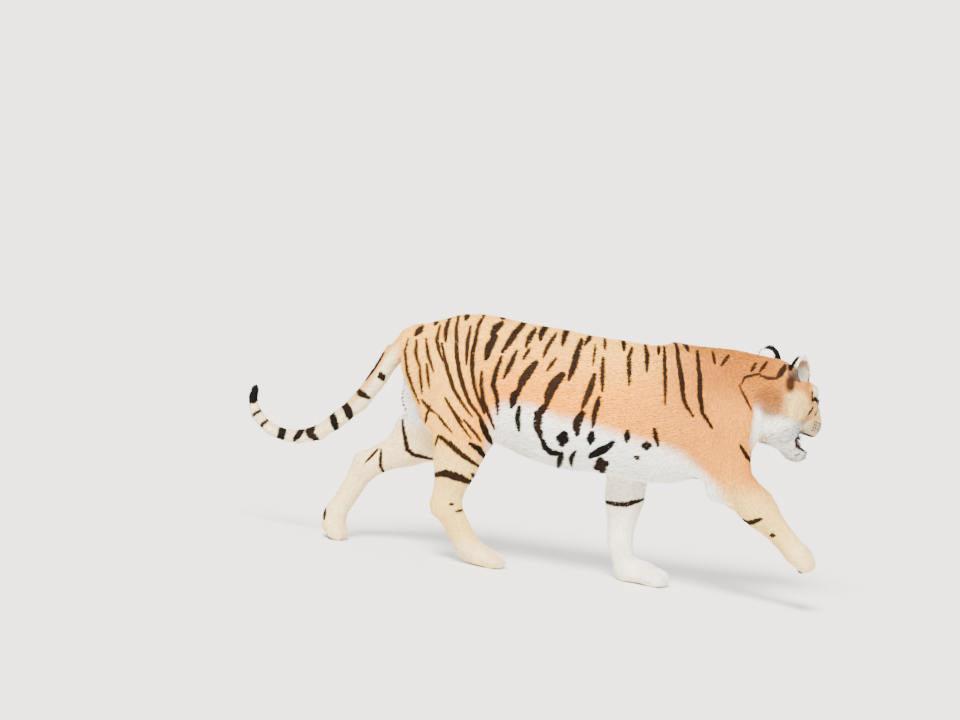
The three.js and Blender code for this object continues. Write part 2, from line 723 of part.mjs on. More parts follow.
const head = [mouth, jawKerf, ...sockets].reduce((made, cut) => made.subtract(cut), headFlesh);
node("head", ahead(head, neckCut), "coat");
node("jaw", ahead(jawBody.intersect(jawBox).subtract(mouth), neckCut), "pale");
const tongueSpace = [[77, -114], [93, -102], [280, -102], [280, -151.4], [100, -135.4]];
const tongueRoom = headPrism(tongueSpace, 60);
const tongue = ball(1, 12, 6).scale(50, 25, 13).rotateY(radians(6)).translate(140, 0, -133);
node("tongue", solid(tongue.applyMatrix4(headTurn)).intersect(tongueRoom), "pink");
for (const [name, eye] of Object.entries(eyes)) node(`eye_${name}`, eye, "eye");

// Ears: round cups that open forward and outward, standing on the crown.
for (const [name, side] of [["left", LEFT], ["right", RIGHT]]) {
  const cup = ball(1, 11, 7).scale(34, 47, 66);
  const hollow = ball(1, 10, 6).scale(27, 40, 54).translate(16, 0, 13);
  const place = new THREE.Matrix4()
    .makeTranslation(EAR.x, side * EAR.y, EAR.z)
    .multiply(new THREE.Matrix4().makeRotationY(-radians(14)))
    .multiply(new THREE.Matrix4().makeRotationX(side * -radians(1)))
    .multiply(new THREE.Matrix4().makeRotationZ(side * radians(76)));
  const ear = solid(cup.applyMatrix4(place).applyMatrix4(headTurn))
    .subtract(solid(hollow.applyMatrix4(place).applyMatrix4(headTurn)))
    .subtract(solid(rings((p) => flesh(p) - 3 * GAP, headSlices, 26, { nose: 3, limit: 260 })))
    .subtract(headFlesh)
    .subtract(core);
  node(`ear_${name}`, ear, "coat");
}

// The tail in three lengths.
const tailCuts = [TAIL_START, 0.42, 0.72, 1];
["tail_root", "tail_middle", "tail_tip"].forEach((name, n) => {
  const [from, to] = [tailCuts[n], tailCuts[n + 1]];
  const length = tailPath.getLength();
  const slices = Array.from({ length: 8 }, (_, i) => {
    const u = from + GAP / 2 / length + ((to - from - GAP / length) * i) / 7;
    return { at: tailPath.getPointAt(u), along: tailPath.getTangentAt(u), up: at(0, 1, 0) };
  });
  const shape = n === 0 ? flesh : tailShape;
  node(name, solid(rings(shape, slices, 11, { nose: n === 2 ? 3 : 0, limit: TAIL_HOLD })), "coat");
});

// The origin stands on the floor, under the middle of the whole animal's length and width.
tiger.position.copy(MIDDLE).negate();

export default tiger;
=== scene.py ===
# %% [markdown]
# # A walking tiger at life size
#
# The solids of the frame give the tiger's true outline, each muscle group a part of its own. Here
# they get what a museum's model maker would add: one skin without seams, glass eyes, lips and nose
# leather, claws and pads, and a coat of short lying tufts that carries the stripes.
# Lengths in the tables below are millimetres in the body's own axes: X forward, Y to the animal's
# left, Z up. Meshes are in metres.

import math

import bpy
import numpy as np
from mathutils import Matrix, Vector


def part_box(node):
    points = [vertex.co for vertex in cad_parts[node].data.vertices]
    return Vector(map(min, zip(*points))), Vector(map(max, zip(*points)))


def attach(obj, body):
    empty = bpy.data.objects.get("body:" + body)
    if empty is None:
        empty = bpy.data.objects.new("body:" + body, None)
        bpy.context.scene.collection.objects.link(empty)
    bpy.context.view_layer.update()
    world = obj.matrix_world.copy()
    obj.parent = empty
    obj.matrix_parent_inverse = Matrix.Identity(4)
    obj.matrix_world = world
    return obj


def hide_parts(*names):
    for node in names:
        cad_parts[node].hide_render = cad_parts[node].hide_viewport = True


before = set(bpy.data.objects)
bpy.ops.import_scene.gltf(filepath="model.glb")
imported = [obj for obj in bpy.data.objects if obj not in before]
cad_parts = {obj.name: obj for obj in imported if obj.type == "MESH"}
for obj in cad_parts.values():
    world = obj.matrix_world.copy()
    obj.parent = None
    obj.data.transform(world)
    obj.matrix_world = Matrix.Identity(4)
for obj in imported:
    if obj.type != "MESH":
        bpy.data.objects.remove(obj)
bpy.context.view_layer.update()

# %% [markdown]
# ## Places on the body
#
# The body's zero lies under its middle line, a little off the frame's own zero. The head has axes of
# its own, because it turns to the left and hangs down: u runs from the middle of the skull to the
# nose, v to the left and w up, in lengths that HEAD_SIZE brings up to this animal's.
# A tiger's markings are drawn here as they look from its side, so every place on the coat also
# gets a side position: how far forward it is, and how high it stands.

# %% Body, head and side coordinates
BODY_ZERO = np.array([60.7, -24.5, 0.0])
HEAD_CENTRE = np.array([802.0, 44.0, 794.0])
HEAD_TURN, HEAD_DROP, HEAD_TILT = (math.radians(a) for a in (46, 14, 2))
HEAD_SIZE = 1.16
LEFT, RIGHT = 1, -1
SIDES = ((LEFT, "left"), (RIGHT, "right"))


def turned(axis, angle):
    """A rotation matrix about one of the axes 0, 1, 2."""
    c, s = math.cos(angle), math.sin(angle)
    a, b = [(1, 2), (2, 0), (0, 1)][axis]
    m = np.eye(3)
    m[a, a], m[a, b], m[b, a], m[b, b] = c, -s, s, c
    return m


HEAD_AXES = turned(2, HEAD_TURN) @ turned(1, HEAD_DROP) @ turned(0, HEAD_TILT)


def to_body(metres):
    return np.asarray(metres) * 1000 - BODY_ZERO


def to_metres(body):
    return (np.asarray(body) + BODY_ZERO) / 1000


def to_head(body):
    return (np.asarray(body) - HEAD_CENTRE) @ HEAD_AXES / HEAD_SIZE


def from_head(*uvw):
    return HEAD_CENTRE + HEAD_AXES @ np.array(uvw, float) * HEAD_SIZE


def smooth_step(low, high, x):
    t = np.clip((x - low) / (high - low), 0, 1)
    return t * t * (3 - 2 * t)


def unit(v):
    return v / np.maximum(np.linalg.norm(v, axis=-1, keepdims=True), 1e-9)


def distance_to(path, body):
    """How far each place is from a line through the places of path."""
    best = np.full(len(body), 1e9)
    for a, b in zip(path, path[1:]):
        a, b = np.array(a, float), np.array(b, float)
        t = np.clip((body - a) @ (b - a) / ((b - a) @ (b - a)), 0, 1)
        best = np.minimum(best, np.linalg.norm(body - a - t[:, None] * (b - a), axis=1))
    return best


print("nose tip in body millimetres", from_head(217, 0, -30).round())

# %% [markdown]
# ## How the coat lies
#
# A tiger's hair points from the nose over the back to the tail and down the legs, about 10 mm long
# on the back, longer on the belly and the ruff of the cheeks, and only a few millimetres on the
# muzzle and the feet. One table says this once. Each row is a stretch of the body from one place
# to the next, in the way that the hair points, and what the coat is like there. A place on the
# skin blends the rows near it, so nothing changes in a step.

# %% The table of the coat
LEG_PATHS = {
    "right_fore": [(430, -62, 868), (652, -112, 665), (660, -122, 464), (776, -114, 372),
                   (910, -100, 254), (964, -94, 210), (990, -93, 190)],
    "left_fore": [(405, 62, 872), (500, 114, 600), (300, 112, 430), (297, 98, 316),
                  (302, 76, 140), (412, 65, 40), (471, 65, 28)],
    "right_hind": [(-430, -92, 760), (-316, -116, 470), (-345, -108, 362), (-360, -96, 208),
                   (-257, -74, 63), (-204, -68, 37), (-142, -66, 25)],
    "left_hind": [(-440, 92, 760), (-432, 116, 432), (-535, 110, 374), (-680, 92, 278),
                  (-764, 72, 92), (-763, 68, 50), (-738, 66, 25)],
}
TAIL_PATH = [(-560, 0, 806), (-606, 0, 772), (-636, 2, 714), (-680, 6, 620), (-730, 10, 532),
             (-800, 14, 452), (-868, 18, 390), (-930, 22, 366), (-990, 25, 362), (-1050, 28, 378),
             (-1097, 30, 414), (-1126, 31, 462), (-1128, 31, 500), (-1124, 31, 516)]
# Columns: reach of the row, length and width of a tuft, depth of the coat, tufts per square
# centimetre, and how softly the skin rounds off the solids.
TRUNK = (150, 17, 4.2, 5.5, 7.5, 17)
COAT = []


def coat_rows(path, *kinds):
    for a, b, kind in zip(path, path[1:], kinds):
        COAT.append((np.array(a, float), np.array(b, float)) + kind)


coat_rows([(700, 20, 780), (560, 0, 720), (100, 0, 680), (-560, 0, 700)],
          (120, 18, 4.2, 6, 7.5, 14), TRUNK, TRUNK)
coat_rows([(620, 0, 560), (330, 0, 425), (-150, 0, 445), (-380, 0, 520)],
          (60, 21, 4.4, 7, 7, 14), (60, 21, 4.4, 7, 7, 14), (60, 24, 4.4, 7, 7, 12))
UPPER = (85, 16, 4, 5, 8, 13)
LOWER = (44, 12, 3.2, 3.4, 10, 7)
WRIST = (38, 11, 3, 2.6, 11, 4.5)
TOES = (34, 8, 2.6, 1.8, 14, 2.4)
for name, path in LEG_PATHS.items():
    coat_rows(path, UPPER, UPPER, LOWER, WRIST if "fore" in name else LOWER, WRIST, TOES)
coat_rows(TAIL_PATH, *[(46, 15, 3.6, 5, 9, 8)] * 13)


def head_rows(kind, *path):
    coat_rows([from_head(*p) for p in path], *[kind] * (len(path) - 1))


head_rows((30, 4.5, 1.8, 1.4, 24, 2.5), (215, 0, -30), (175, 0, -6), (138, 0, 16))
head_rows((45, 9, 2.4, 2.4, 18, 4), (138, 0, 16), (96, 0, 52), (20, 0, 78), (-60, 0, 70))
head_rows((34, 22, 2.6, 6, 13, 4), (204, 0, -180), (120, 0, -172), (30, 0, -160))
for side, _ in SIDES:
    head_rows((28, 5, 1.8, 1.4, 24, 2.5), (203, side * 20, -64), (166, side * 48, -70),
              (124, side * 60, -62))
    head_rows((36, 17, 2.6, 4, 14, 4.5), (126, side * 60, -46), (76, side * 88, -44),
              (6, side * 106, -40), (-54, side * 100, -34))
    head_rows((34, 42, 3.4, 12, 10, 7), (86, side * 70, -96), (40, side * 94, -112),
              (-10, side * 102, -138), (-50, side * 92, -160))

# %% [markdown]
# An ear is a thin cup that opens forward and outward. Its rows and its markings are easiest to place
# in axes of its own, which turn with it.

# %% The ears' own axes
EAR_PLACE = np.array([-13.0, 69.0, 67.0])
EAR_FRAMES = {
    side: turned(1, math.radians(-14)) @ turned(0, -side * math.radians(1))
    @ turned(2, side * math.radians(76)) for side, _ in SIDES
}


def to_ear(head, side):
    """Ear axes: first the way the cup opens, then along its width, then to its tip."""
    return (head - EAR_PLACE * (1, side, 1)) @ EAR_FRAMES[side]


def from_ear(side, *abc):
    return from_head(*(EAR_PLACE * (1, side, 1) + EAR_FRAMES[side] @ np.array(abc, float)))


for side, _ in SIDES:
    coat_rows([from_ear(side, 0, 0, -20), from_ear(side, 0, 0, 66)], (38, 8, 2.2, 1.2, 20, 1.5))


def blend_coat(body, keep=4):
    """The coat at each place: the way it points, and the other columns of the table."""
    way = np.zeros((len(body), 3))
    values = np.zeros((len(body), 5))
    total = np.zeros(len(body))
    for a, b, reach, *rest in COAT:
        run = b - a
        share = np.clip((body - a) @ run / (run @ run), 0, 1)
        off = np.linalg.norm(body - a - share[:, None] * run, axis=1) / reach
        weight = 1 / (0.05 + off**keep)
        way += weight[:, None] * run / np.linalg.norm(run)
        values += weight[:, None] * np.array(rest)
        total += weight
    return unit(way), values / total[:, None]


print(len(COAT), "rows of coat")

# %% [markdown]
# ## The skin
#
# The frame parts the body where a person would name its parts. A skin without seams can be sculpted
# from a ball, or grown over the solids: copies of them are made a little fuller so that they
# overlap, and a voxel remesh turns the lot into one even net of small squares. That keeps every
# proportion, so it is the way used here.

# %% Grow one net over the solids
FLESH = [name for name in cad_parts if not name.startswith("eye") and name != "tongue"]
VOXEL = 0.0036
OVERLAP = 0.0012


def clear_selection():
    bpy.ops.object.select_all(action="DESELECT")


def make_active(piece):
    clear_selection()
    piece.select_set(True)
    bpy.context.view_layer.objects.active = piece


def apply_modifier(piece, kind, **settings):
    make_active(piece)
    modifier = piece.modifiers.new(kind.title(), kind)
    for key, value in settings.items():
        setattr(modifier, key, value)
    bpy.ops.object.modifier_apply(modifier=modifier.name)


def join_pieces(pieces, name):
    """Joins pieces into the first of them."""
    clear_selection()
    for piece in pieces:
        piece.select_set(True)
    bpy.context.view_layer.objects.active = pieces[0]
    bpy.ops.object.join()
    whole = bpy.context.view_layer.objects.active
    whole.name = name
    return whole


copies = []
for name in FLESH:
    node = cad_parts[name]
    copy = bpy.data.objects.new(f"flesh_{name}", node.data.copy())
    bpy.context.collection.objects.link(copy)
    make_active(copy)
    bpy.ops.object.mode_set(mode="EDIT")
    bpy.ops.mesh.select_all(action="SELECT")
    bpy.ops.mesh.remove_doubles(threshold=1e-5)
    bpy.ops.transform.shrink_fatten(value=OVERLAP)
    bpy.ops.object.mode_set(mode="OBJECT")
    copies.append(copy)
skin = join_pieces(copies, "skin")
skin.data.name = "skin"
apply_modifier(skin, "REMESH", mode="VOXEL", voxel_size=VOXEL)
print("skin net", len(skin.data.vertices), "corners")

# %% [markdown]
# The facets of the solids still show in the net. Moving each corner towards the middle of its
# neighbours, again and again, wears them off as sandpaper would. A share of that for each corner
# keeps the ears and toes crisp while the flanks get smooth. Then the skin sinks in by the depth of
# the coat, which will bring the outline back.

# %% Smooth the net and sink it under the coat


def read_all(items, attribute, width, kind=np.float32):
    """One attribute of every item of a mesh, as rows of an array."""
    flat = np.empty(len(items) * width, kind)
    items.foreach_get(attribute, flat)
    return flat.reshape(-1, width)


def corners_of(piece):
    return read_all(piece.data.vertices, "co", 3).astype(float)


def put_corners(piece, places):
    piece.data.vertices.foreach_set("co", places.astype(np.float32).ravel())
    piece.data.update()


def normals_of(piece):
    return read_all(piece.data.vertex_normals, "vector", 3).astype(float)


def relax(places, edges, share, rounds):
    """Moves each place its share of the way to the middle of its neighbours, round after round."""
    count = len(places)
    degree = np.bincount(edges.ravel(), minlength=count)[:, None]
    ends = np.concatenate([edges[:, 0], edges[:, 1]])
    others = np.concatenate([edges[:, 1], edges[:, 0]])
    for _ in range(rounds):
        mean = np.stack([np.bincount(ends, places[others, k], count) for k in range(3)], 1) / degree
        places = places + share[:, None] * (mean - places)
    return places


ROUNDS = 60
places = corners_of(skin)
edges = read_all(skin.data.edges, "vertices", 2, np.int32)
way, coat_here = blend_coat(to_body(places))
softness = coat_here[:, 4] / 1000
share = np.clip(softness**2 * 4 / (2 * VOXEL**2 * ROUNDS), 0, 0.9)
places = relax(places, edges, share, ROUNDS)
put_corners(skin, places)
places = places - normals_of(skin) * coat_here[:, 2:3] / 1000
put_corners(skin, relax(places, edges, np.full(len(places), 0.3), 2))
print("smoothing share from", share.min().round(3), "to", share.max().round(3))

# %% [markdown]
# ## Folds, hollows and bulges
#
# Under a short coat the muscles show: the edge of the shoulder blade, the hollow in front of the
# thigh, the tendon above the hock, the toes. A sculptor drags a soft brush along each. The brush
# here is a line on the body, a reach and a push, out or in, that fades with distance. Lines with a
# side are drawn on both halves.

# %% The brush
skin_body = to_body(corners_of(skin))
skin_normals = normals_of(skin)


def brush(path, reach, push):
    """Pushes the skin along its normals near a line through the places of path, in body axes."""
    path = [np.array(p, float) for p in path]
    middle = np.mean(path, axis=0)
    span = max(np.linalg.norm(p - middle) for p in path) + 3 * reach
    near = np.flatnonzero(np.linalg.norm(skin_body - middle, axis=1) < span)
    fade = np.exp(-((distance_to(path, skin_body[near]) / reach) ** 2))
    skin_body[near] += skin_normals[near] * (push * fade)[:, None]


def head_brush(path, reach, push, sides=(1, -1)):
    for side in sides:
        brush([from_head(u, v * side, w) for u, v, w in path], reach * HEAD_SIZE, push)


# %% Muscles of the body
for side, name in SIDES:
    shoulder_x = 0 if side == RIGHT else -60
    brush([(s + shoulder_x, side * y, z) for s, y, z in
           [(430, 120, 850), (520, 138, 760), (600, 150, 660)]], 34, 3.5)
    brush([(s + shoulder_x, side * y, z) for s, y, z in
           [(395, 140, 800), (420, 160, 680), (470, 165, 560)]], 30, -5)
    brush([(-250, side * 120, 830), (-225, side * 140, 700), (-230, side * 130, 600)], 40, -5)
    brush([(-420, side * 100, 860), (-480, side * 104, 800)], 26, 3)
    brush([(60, side * 150, 470), (-120, side * 140, 480)], 50, -4)
for name, path in LEG_PATHS.items():
    side = LEFT if "left" in name else RIGHT
    a, b = np.array(path[2], float), np.array(path[3], float)
    if "hind" in name:
        heel = b + np.array([-22 if side == RIGHT else -14, 0, 26.0])
        for across in (-1, 1):
            brush([a * 0.5 + heel * 0.5 + (0, across * 34, 0), heel + (8, across * 26, 14)], 13, -4)
    else:
        for across in (-1, 1):
            brush([a * 0.4 + b * 0.6 + (0, across * 40, 0), b + (0, across * 34, 30)], 13, -2.5)

# %% Toes
PAWS = {
    "right_fore": (104, 112), "left_fore": (104, 112), "right_hind": (92, 100), "left_hind": (92, 100),
}


def toe_line(name, step):
    """From the knuckle to the tip of a toe; step counts the toes from the middle, -1.5 to 1.5."""
    knuckle, tip = (np.array(p, float) for p in LEG_PATHS[name][-2:])
    width, spread = PAWS[name]
    outer = abs(step) > 1
    root = knuckle + (-6 if outer else 0, step * width * 0.24, -4 if outer else 0)
    end = tip + (-12 if outer else 2, step * spread * 0.27, -3 if outer else 0)
    return root, end


for name in PAWS:
    up = np.array([0, 0, 16.0]) if name != "left_hind" else np.array([-14.0, 0, 6])
    for step in (-1, 0, 1):
        root, end = toe_line(name, step)
        ahead = unit(end - root)
        brush([root * 0.5 + end * 0.5 + up * 2, end + up * 1.6, end + ahead * 24 + up * 0.6,
               end + ahead * 30 - up * 0.4], 5.5, -6)
    for step in (-1.5, -0.5, 0.5, 1.5):
        root, end = toe_line(name, step)
        brush([end + up * 0.8, end + unit(end - root) * 20], 11, 1.6)
print("brushed body and toes")

# %% [markdown]
# The face gets the most strokes. A tiger's muzzle is two round whisker pads that meet in a groove
# under the nose, with a flat bridge above. The brow stands out over the eyes, and the cheek bone
# runs back from below them. The lower lip turns out a little.

# %% The face
head_brush([(171, 34, -62), (155, 42, -66)], 20, 3)
head_brush([(185, 23, -78), (161, 40, -90)], 10, 3)
head_brush([(187, 28, -26), (146, 36, -14)], 9, -4.5)
head_brush([(211, 0, -52), (209, 0, -94)], 5.5, -6, (1,))
head_brush([(173, 0, -2), (132, 0, 14)], 16, 2, (1,))
head_brush([(143, 0, 28), (103, 0, 57), (56, 0, 76)], 12, -3, (1,))
head_brush([(97, 54, 36), (119, 42, 36)], 12, 3.5)
head_brush([(60, 40, 66), (20, 44, 78)], 20, 2.5)
head_brush([(136, 52, -20), (100, 76, -26), (54, 92, -26)], 12, 3)
head_brush([(148, 42, -8), (130, 56, -16)], 7, -3)
head_brush([(138, 54, -46), (112, 64, -70), (94, 68, -96)], 9, -3.5)
head_brush([(202, 12, -149), (184, 30, -148), (130, 44, -142)], 6, 2.5)
head_brush([(20, 100, -70), (-20, 104, -100), (20, 88, -130)], 26, 5)
for side, _ in SIDES:
    brush([from_ear(side, 26, 0, -20), from_ear(side, 22, 0, 0)], 16, -3)
print("brushed face")

# %% [markdown]
# ## Eyes and lids
#
# A tiger's eye is a ball almost 40 mm across, of which only an almond shows. Lids could be pieces of
# their own; here the skin itself is drawn over the ball and pushed in behind it where the almond
# opens, and a thin dark rim covers the edge, as on the animal. The ball is turned finer than the
# solid's and carries its own map, so that the iris sits on the line of sight.

# %% Draw the lids over the eyes
OPEN_LONG, OPEN_HIGH = 0.86, 0.56  # half the almond, in eye radii


def eye_axes(side):
    """Out of the eye along the line of sight, towards the outer corner, and up."""
    sight = unit(np.array([math.cos(math.radians(24)), side * math.sin(math.radians(24)), 0.14]))
    outer = unit(np.array([-0.42, side * 1.0, 0.24]))
    outer = unit(outer - sight * (outer @ sight))
    up = np.cross(sight, outer) * side
    return (HEAD_AXES @ np.stack([sight, outer, up], 1)).T


def almond(across):
    """Half the height of the opening at a share of its length."""
    inside = np.clip(1 - (across / OPEN_LONG) ** 2, 0, 1)
    return OPEN_HIGH * inside**0.75 * (1 - 0.12 * across)


EYES = {}
for side, name in SIDES:
    low, high = (np.array(c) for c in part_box(f"eye_{name}"))
    centre = to_body((low + high) / 2)
    radius = float(high[1] - low[1]) * 500
    axes = eye_axes(side)
    EYES[side] = (centre, radius, axes)
    offset = (skin_body - centre) / radius
    distance = np.linalg.norm(offset, axis=1)
    near = np.flatnonzero((distance < 1.7) & (offset @ axes[0] > -0.2))
    ahead, across, up = (offset[near] @ axes.T).T
    inside = (np.abs(up) < almond(across)) & (np.abs(across) < OPEN_LONG) & (ahead > 0)
    size = distance[near]
    wanted = np.where(inside, 0.84, np.maximum(size, 1.07))
    flat = np.hypot(across, up)
    lid = (~inside) & (flat < 1.15) & (ahead > 0)
    wanted = np.where(lid, 1.07 + 0.5 * np.clip(flat - 0.85, 0, 1) * 0.4, wanted)
    size = np.where(inside | lid | (size < 1.07), wanted, size)
    skin_body[near] = centre + unit(offset[near]) * (size * radius)[:, None]
    print(name, "eye", centre.round(), "radius", round(radius, 1), "opened over", int(inside.sum()))

# %% [markdown]
# The net is far finer than the flat parts need. One light smoothing takes the brush marks off, no
# corner may lie below the floor, and the Decimate modifier then drops corners where the skin is
# nearly flat and keeps them at the lids, lips and toes.

# %% Rest the skin and thin it


def face_outwards(piece):
    """Turns every face of a piece outwards and shades it smooth."""
    make_active(piece)
    bpy.ops.object.mode_set(mode="EDIT")
    bpy.ops.mesh.select_all(action="SELECT")
    bpy.ops.mesh.normals_make_consistent(inside=False)
    bpy.ops.object.mode_set(mode="OBJECT")
    bpy.ops.object.shade_smooth()


places = relax(to_metres(skin_body), edges, np.full(len(skin_body), 0.35), 1)
places[:, 2] = np.maximum(places[:, 2], 0.0004)
put_corners(skin, places)
SKIN_FACES = 184000
apply_modifier(skin, "DECIMATE", ratio=SKIN_FACES / (2 * len(skin.data.polygons)))
bpy.ops.object.mode_set(mode="EDIT")
bpy.ops.mesh.select_all(action="SELECT")
bpy.ops.mesh.quads_convert_to_tris()
bpy.ops.object.mode_set(mode="OBJECT")
face_outwards(skin)
print("skin", len(skin.data.polygons), "faces")

# %% [markdown]
# The skin is unwrapped once. The map is for baking: each tuft of the coat will get a tiny patch of
# it, at the place where it grows.

# %% Unwrap the skin
for layer in list(skin.data.uv_layers):
    skin.data.uv_layers.remove(layer)
skin.data.uv_layers.new(name="OFBake")
make_active(skin)
bpy.ops.object.mode_set(mode="EDIT")
bpy.ops.mesh.select_all(action="SELECT")
bpy.ops.uv.smart_project(angle_limit=math.radians(70), island_margin=0.002)
bpy.ops.object.mode_set(mode="OBJECT")
SKIN_MAP = read_all(skin.data.uv_layers["OFBake"].data, "uv", 2).reshape(-1, 3, 2)
print("map from", SKIN_MAP.min().round(3), "to", SKIN_MAP.max().round(3))

# %% [markdown]
# ## Markings
#
# Every tiger has stripes of its own, so they are drawn one by one, as strokes with a width, on the
# side view of the body: how far forward, how high. A stroke is thin at its ends and fullest in the
# middle. Many are split, with a lighter middle. The two flanks of a tiger differ, so on the left the
# same strokes are drawn over a gently warped side view.

# %% Strokes of the rump and thigh: width, darkness, split, then the line
STRIPES = [
    (8.1, 0.25, 0, (-584, 784), (-588, 736), (-568, 664), (-536, 600), (-508, 556)),
    (17.2, 0.5, 0, (-540, 832), (-560, 800)),
    (8.1, 0.25, 0, (-528, 704), (-520, 656), (-504, 592)),
    (8.1, 0.25, 0, (-504, 704), (-492, 656), (-480, 616)),
    (11.5, 0.4, 0, (-484, 868), (-497, 846)),
    (9.5, 0.3, 0, (-520, 792), (-504, 736), (-476, 680)),
    (9.5, 0.3, 0, (-476, 848), (-480, 792), (-468, 760), (-448, 720)),
    (12.2, 0.4, 0, (-444, 884), (-452, 840), (-448, 792)),
    (10.8, 0.3, 0, (-460, 784), (-444, 736), (-420, 680), (-392, 624), (-352, 576), (-312, 536)),
    (12.2, 0.45, 0, (-412, 900), (-416, 848), (-408, 800), (-400, 752), (-384, 696), (-360, 640),
     (-328, 584), (-280, 536), (-256, 504)),
    (10.8, 0.4, 0, (-364, 862), (-368, 800), (-360, 720)),
    (13.8, 0.5, 0, (-378, 905), (-388, 882)),
    (12.6, 0.6, 0, (-318, 916), (-336, 872), (-340, 816), (-344, 760), (-336, 704), (-320, 648),
     (-296, 600), (-268, 552)),
    (12.6, 0.6, 0, (-300, 704), (-296, 656), (-280, 600), (-248, 544), (-224, 504)),
    (17.2, 0.9, 0, (-280, 528), (-256, 488), (-228, 448)),
    (14.9, 0.7, 0, (-236, 768), (-248, 712), (-252, 664), (-232, 624), (-220, 560)),
    (23, 0.75, 0.2, (-268, 840), (-288, 792), (-292, 752)),
    (20.7, 0.7, 0, (-252, 888), (-272, 868), (-284, 844)),
    (16.1, 0.7, 0, (-258, 918), (-246, 906)),
    (9.5, 0.3, 0, (-552, 780), (-548, 735), (-530, 690)),
    (9.5, 0.3, 0, (-500, 570), (-470, 540), (-440, 528)),
    (8.1, 0.3, 0, (-420, 590), (-385, 548), (-345, 510)),
]
print(len(STRIPES), "strokes on the rump")

# %% Strokes of the loin and flank
STRIPES += [
    (18, 0.75, 0.3, (-166, 908), (-196, 864), (-220, 816), (-236, 784)),
    (14, 0.7, 0.3, (-184, 796), (-196, 752), (-216, 692)),
    (16, 0.75, 0.2, (-128, 884), (-144, 848), (-152, 816)),
    (10, 0.6, 0, (-136, 812), (-156, 772)),
    (24, 0.75, 0.55, (-108, 764), (-128, 728), (-148, 688), (-158, 650)),
    (22, 0.85, 0.2, (-152, 656), (-168, 635), (-172, 592)),
    (16, 0.95, 0, (-144, 596), (-144, 552), (-132, 512)),
    (18, 0.75, 0, (-80, 910), (-100, 880), (-104, 848)),
    (12, 0.6, 0.2, (-48, 880), (-72, 832), (-84, 788)),
    (10, 0.5, 0.2, (-36, 792), (-64, 740)),
    (26, 0.75, 0.6, (-4, 736), (-32, 696), (-44, 656), (-48, 616)),
    (24, 0.9, 0.45, (-48, 616), (-72, 580), (-68, 536), (-48, 496)),
    (16, 0.95, 0, (-48, 496), (-26, 462), (10, 446)),
    (16, 0.75, 0, (-4, 912), (-16, 880), (-20, 840)),
    (12, 0.7, 0, (84, 898), (60, 852)),
    (19, 0.75, 0.15, (48, 870), (36, 816), (32, 776), (20, 720)),
    (7, 0.5, 0, (100, 862), (100, 784)),
    (10, 0.65, 0, (132, 890), (136, 848)),
    (13, 0.65, 0.2, (134, 816), (140, 760), (148, 696)),
    (18, 0.65, 0.5, (112, 752), (104, 704), (92, 656), (84, 624)),
    (16, 0.75, 0.4, (140, 672), (132, 616), (132, 564)),
    (13, 0.8, 0, (200, 898), (208, 856)),
    (13, 0.75, 0, (236, 868), (228, 832), (236, 784), (242, 736)),
    (13, 0.75, 0, (284, 886), (296, 840), (300, 792)),
    (10, 0.7, 0, (334, 890), (336, 860)),
    (10, 0.6, 0, (354, 888), (364, 816), (376, 744), (384, 680)),
    (13, 0.65, 0, (396, 908), (412, 840), (432, 776), (448, 712), (460, 692), (492, 656)),
    (12, 0.7, 0, (420, 926), (440, 888)),
    (13, 0.65, 0, (472, 892), (484, 840), (496, 792), (504, 736), (524, 672), (568, 624)),
    (9, 0.6, 0, (532, 898), (544, 856)),
    (9, 0.5, 0, (592, 894), (568, 852)),
    (9, 0.55, 0, (696, 880), (680, 848)),
    (9, 0.6, 0, (736, 890), (712, 852)),
    (7, 0.5, 0, (712, 844), (660, 824), (652, 800)),
    (8, 0.3, 0, (716, 838), (752, 832), (784, 838)),
    (16, 0.45, 0, (804, 886), (794, 862), (780, 838)),
    (7, 0.25, 0, (644, 792), (700, 704)),
    (10, 0.7, 0, (676, 576), (708, 536), (744, 508)),
]
print(len(STRIPES), "strokes so far")

# %% Spots and strokes of the belly
STRIPES += [
    (36, 1, 0.1, (32, 520), (29, 486)),
    (24, 0.9, 0.4, (88, 608), (72, 568), (80, 528)),
    (24, 1, 0.1, (132, 540), (132, 504)),
    (22, 1, 0, (140, 456), (196, 496), (216, 520)),
    (18, 0.95, 0, (260, 564), (264, 528)),
    (13, 0.9, 0, (356, 588), (372, 552), (380, 528)),
    (24, 0.95, 0, (328, 522), (352, 526)),
    (44, 0.85, 0.35, (182, 440), (194, 416)),
    (16, 0.95, 0, (-40, 476), (-4, 448), (40, 448)),
    (18, 0.9, 0, (36, 452), (32, 400)),
    (14, 0.9, 0, (84, 464), (72, 440), (80, 412)),
    (14, 0.25, 0, (304, 478), (318, 474)),
]
print(len(STRIPES), "strokes with the belly's")

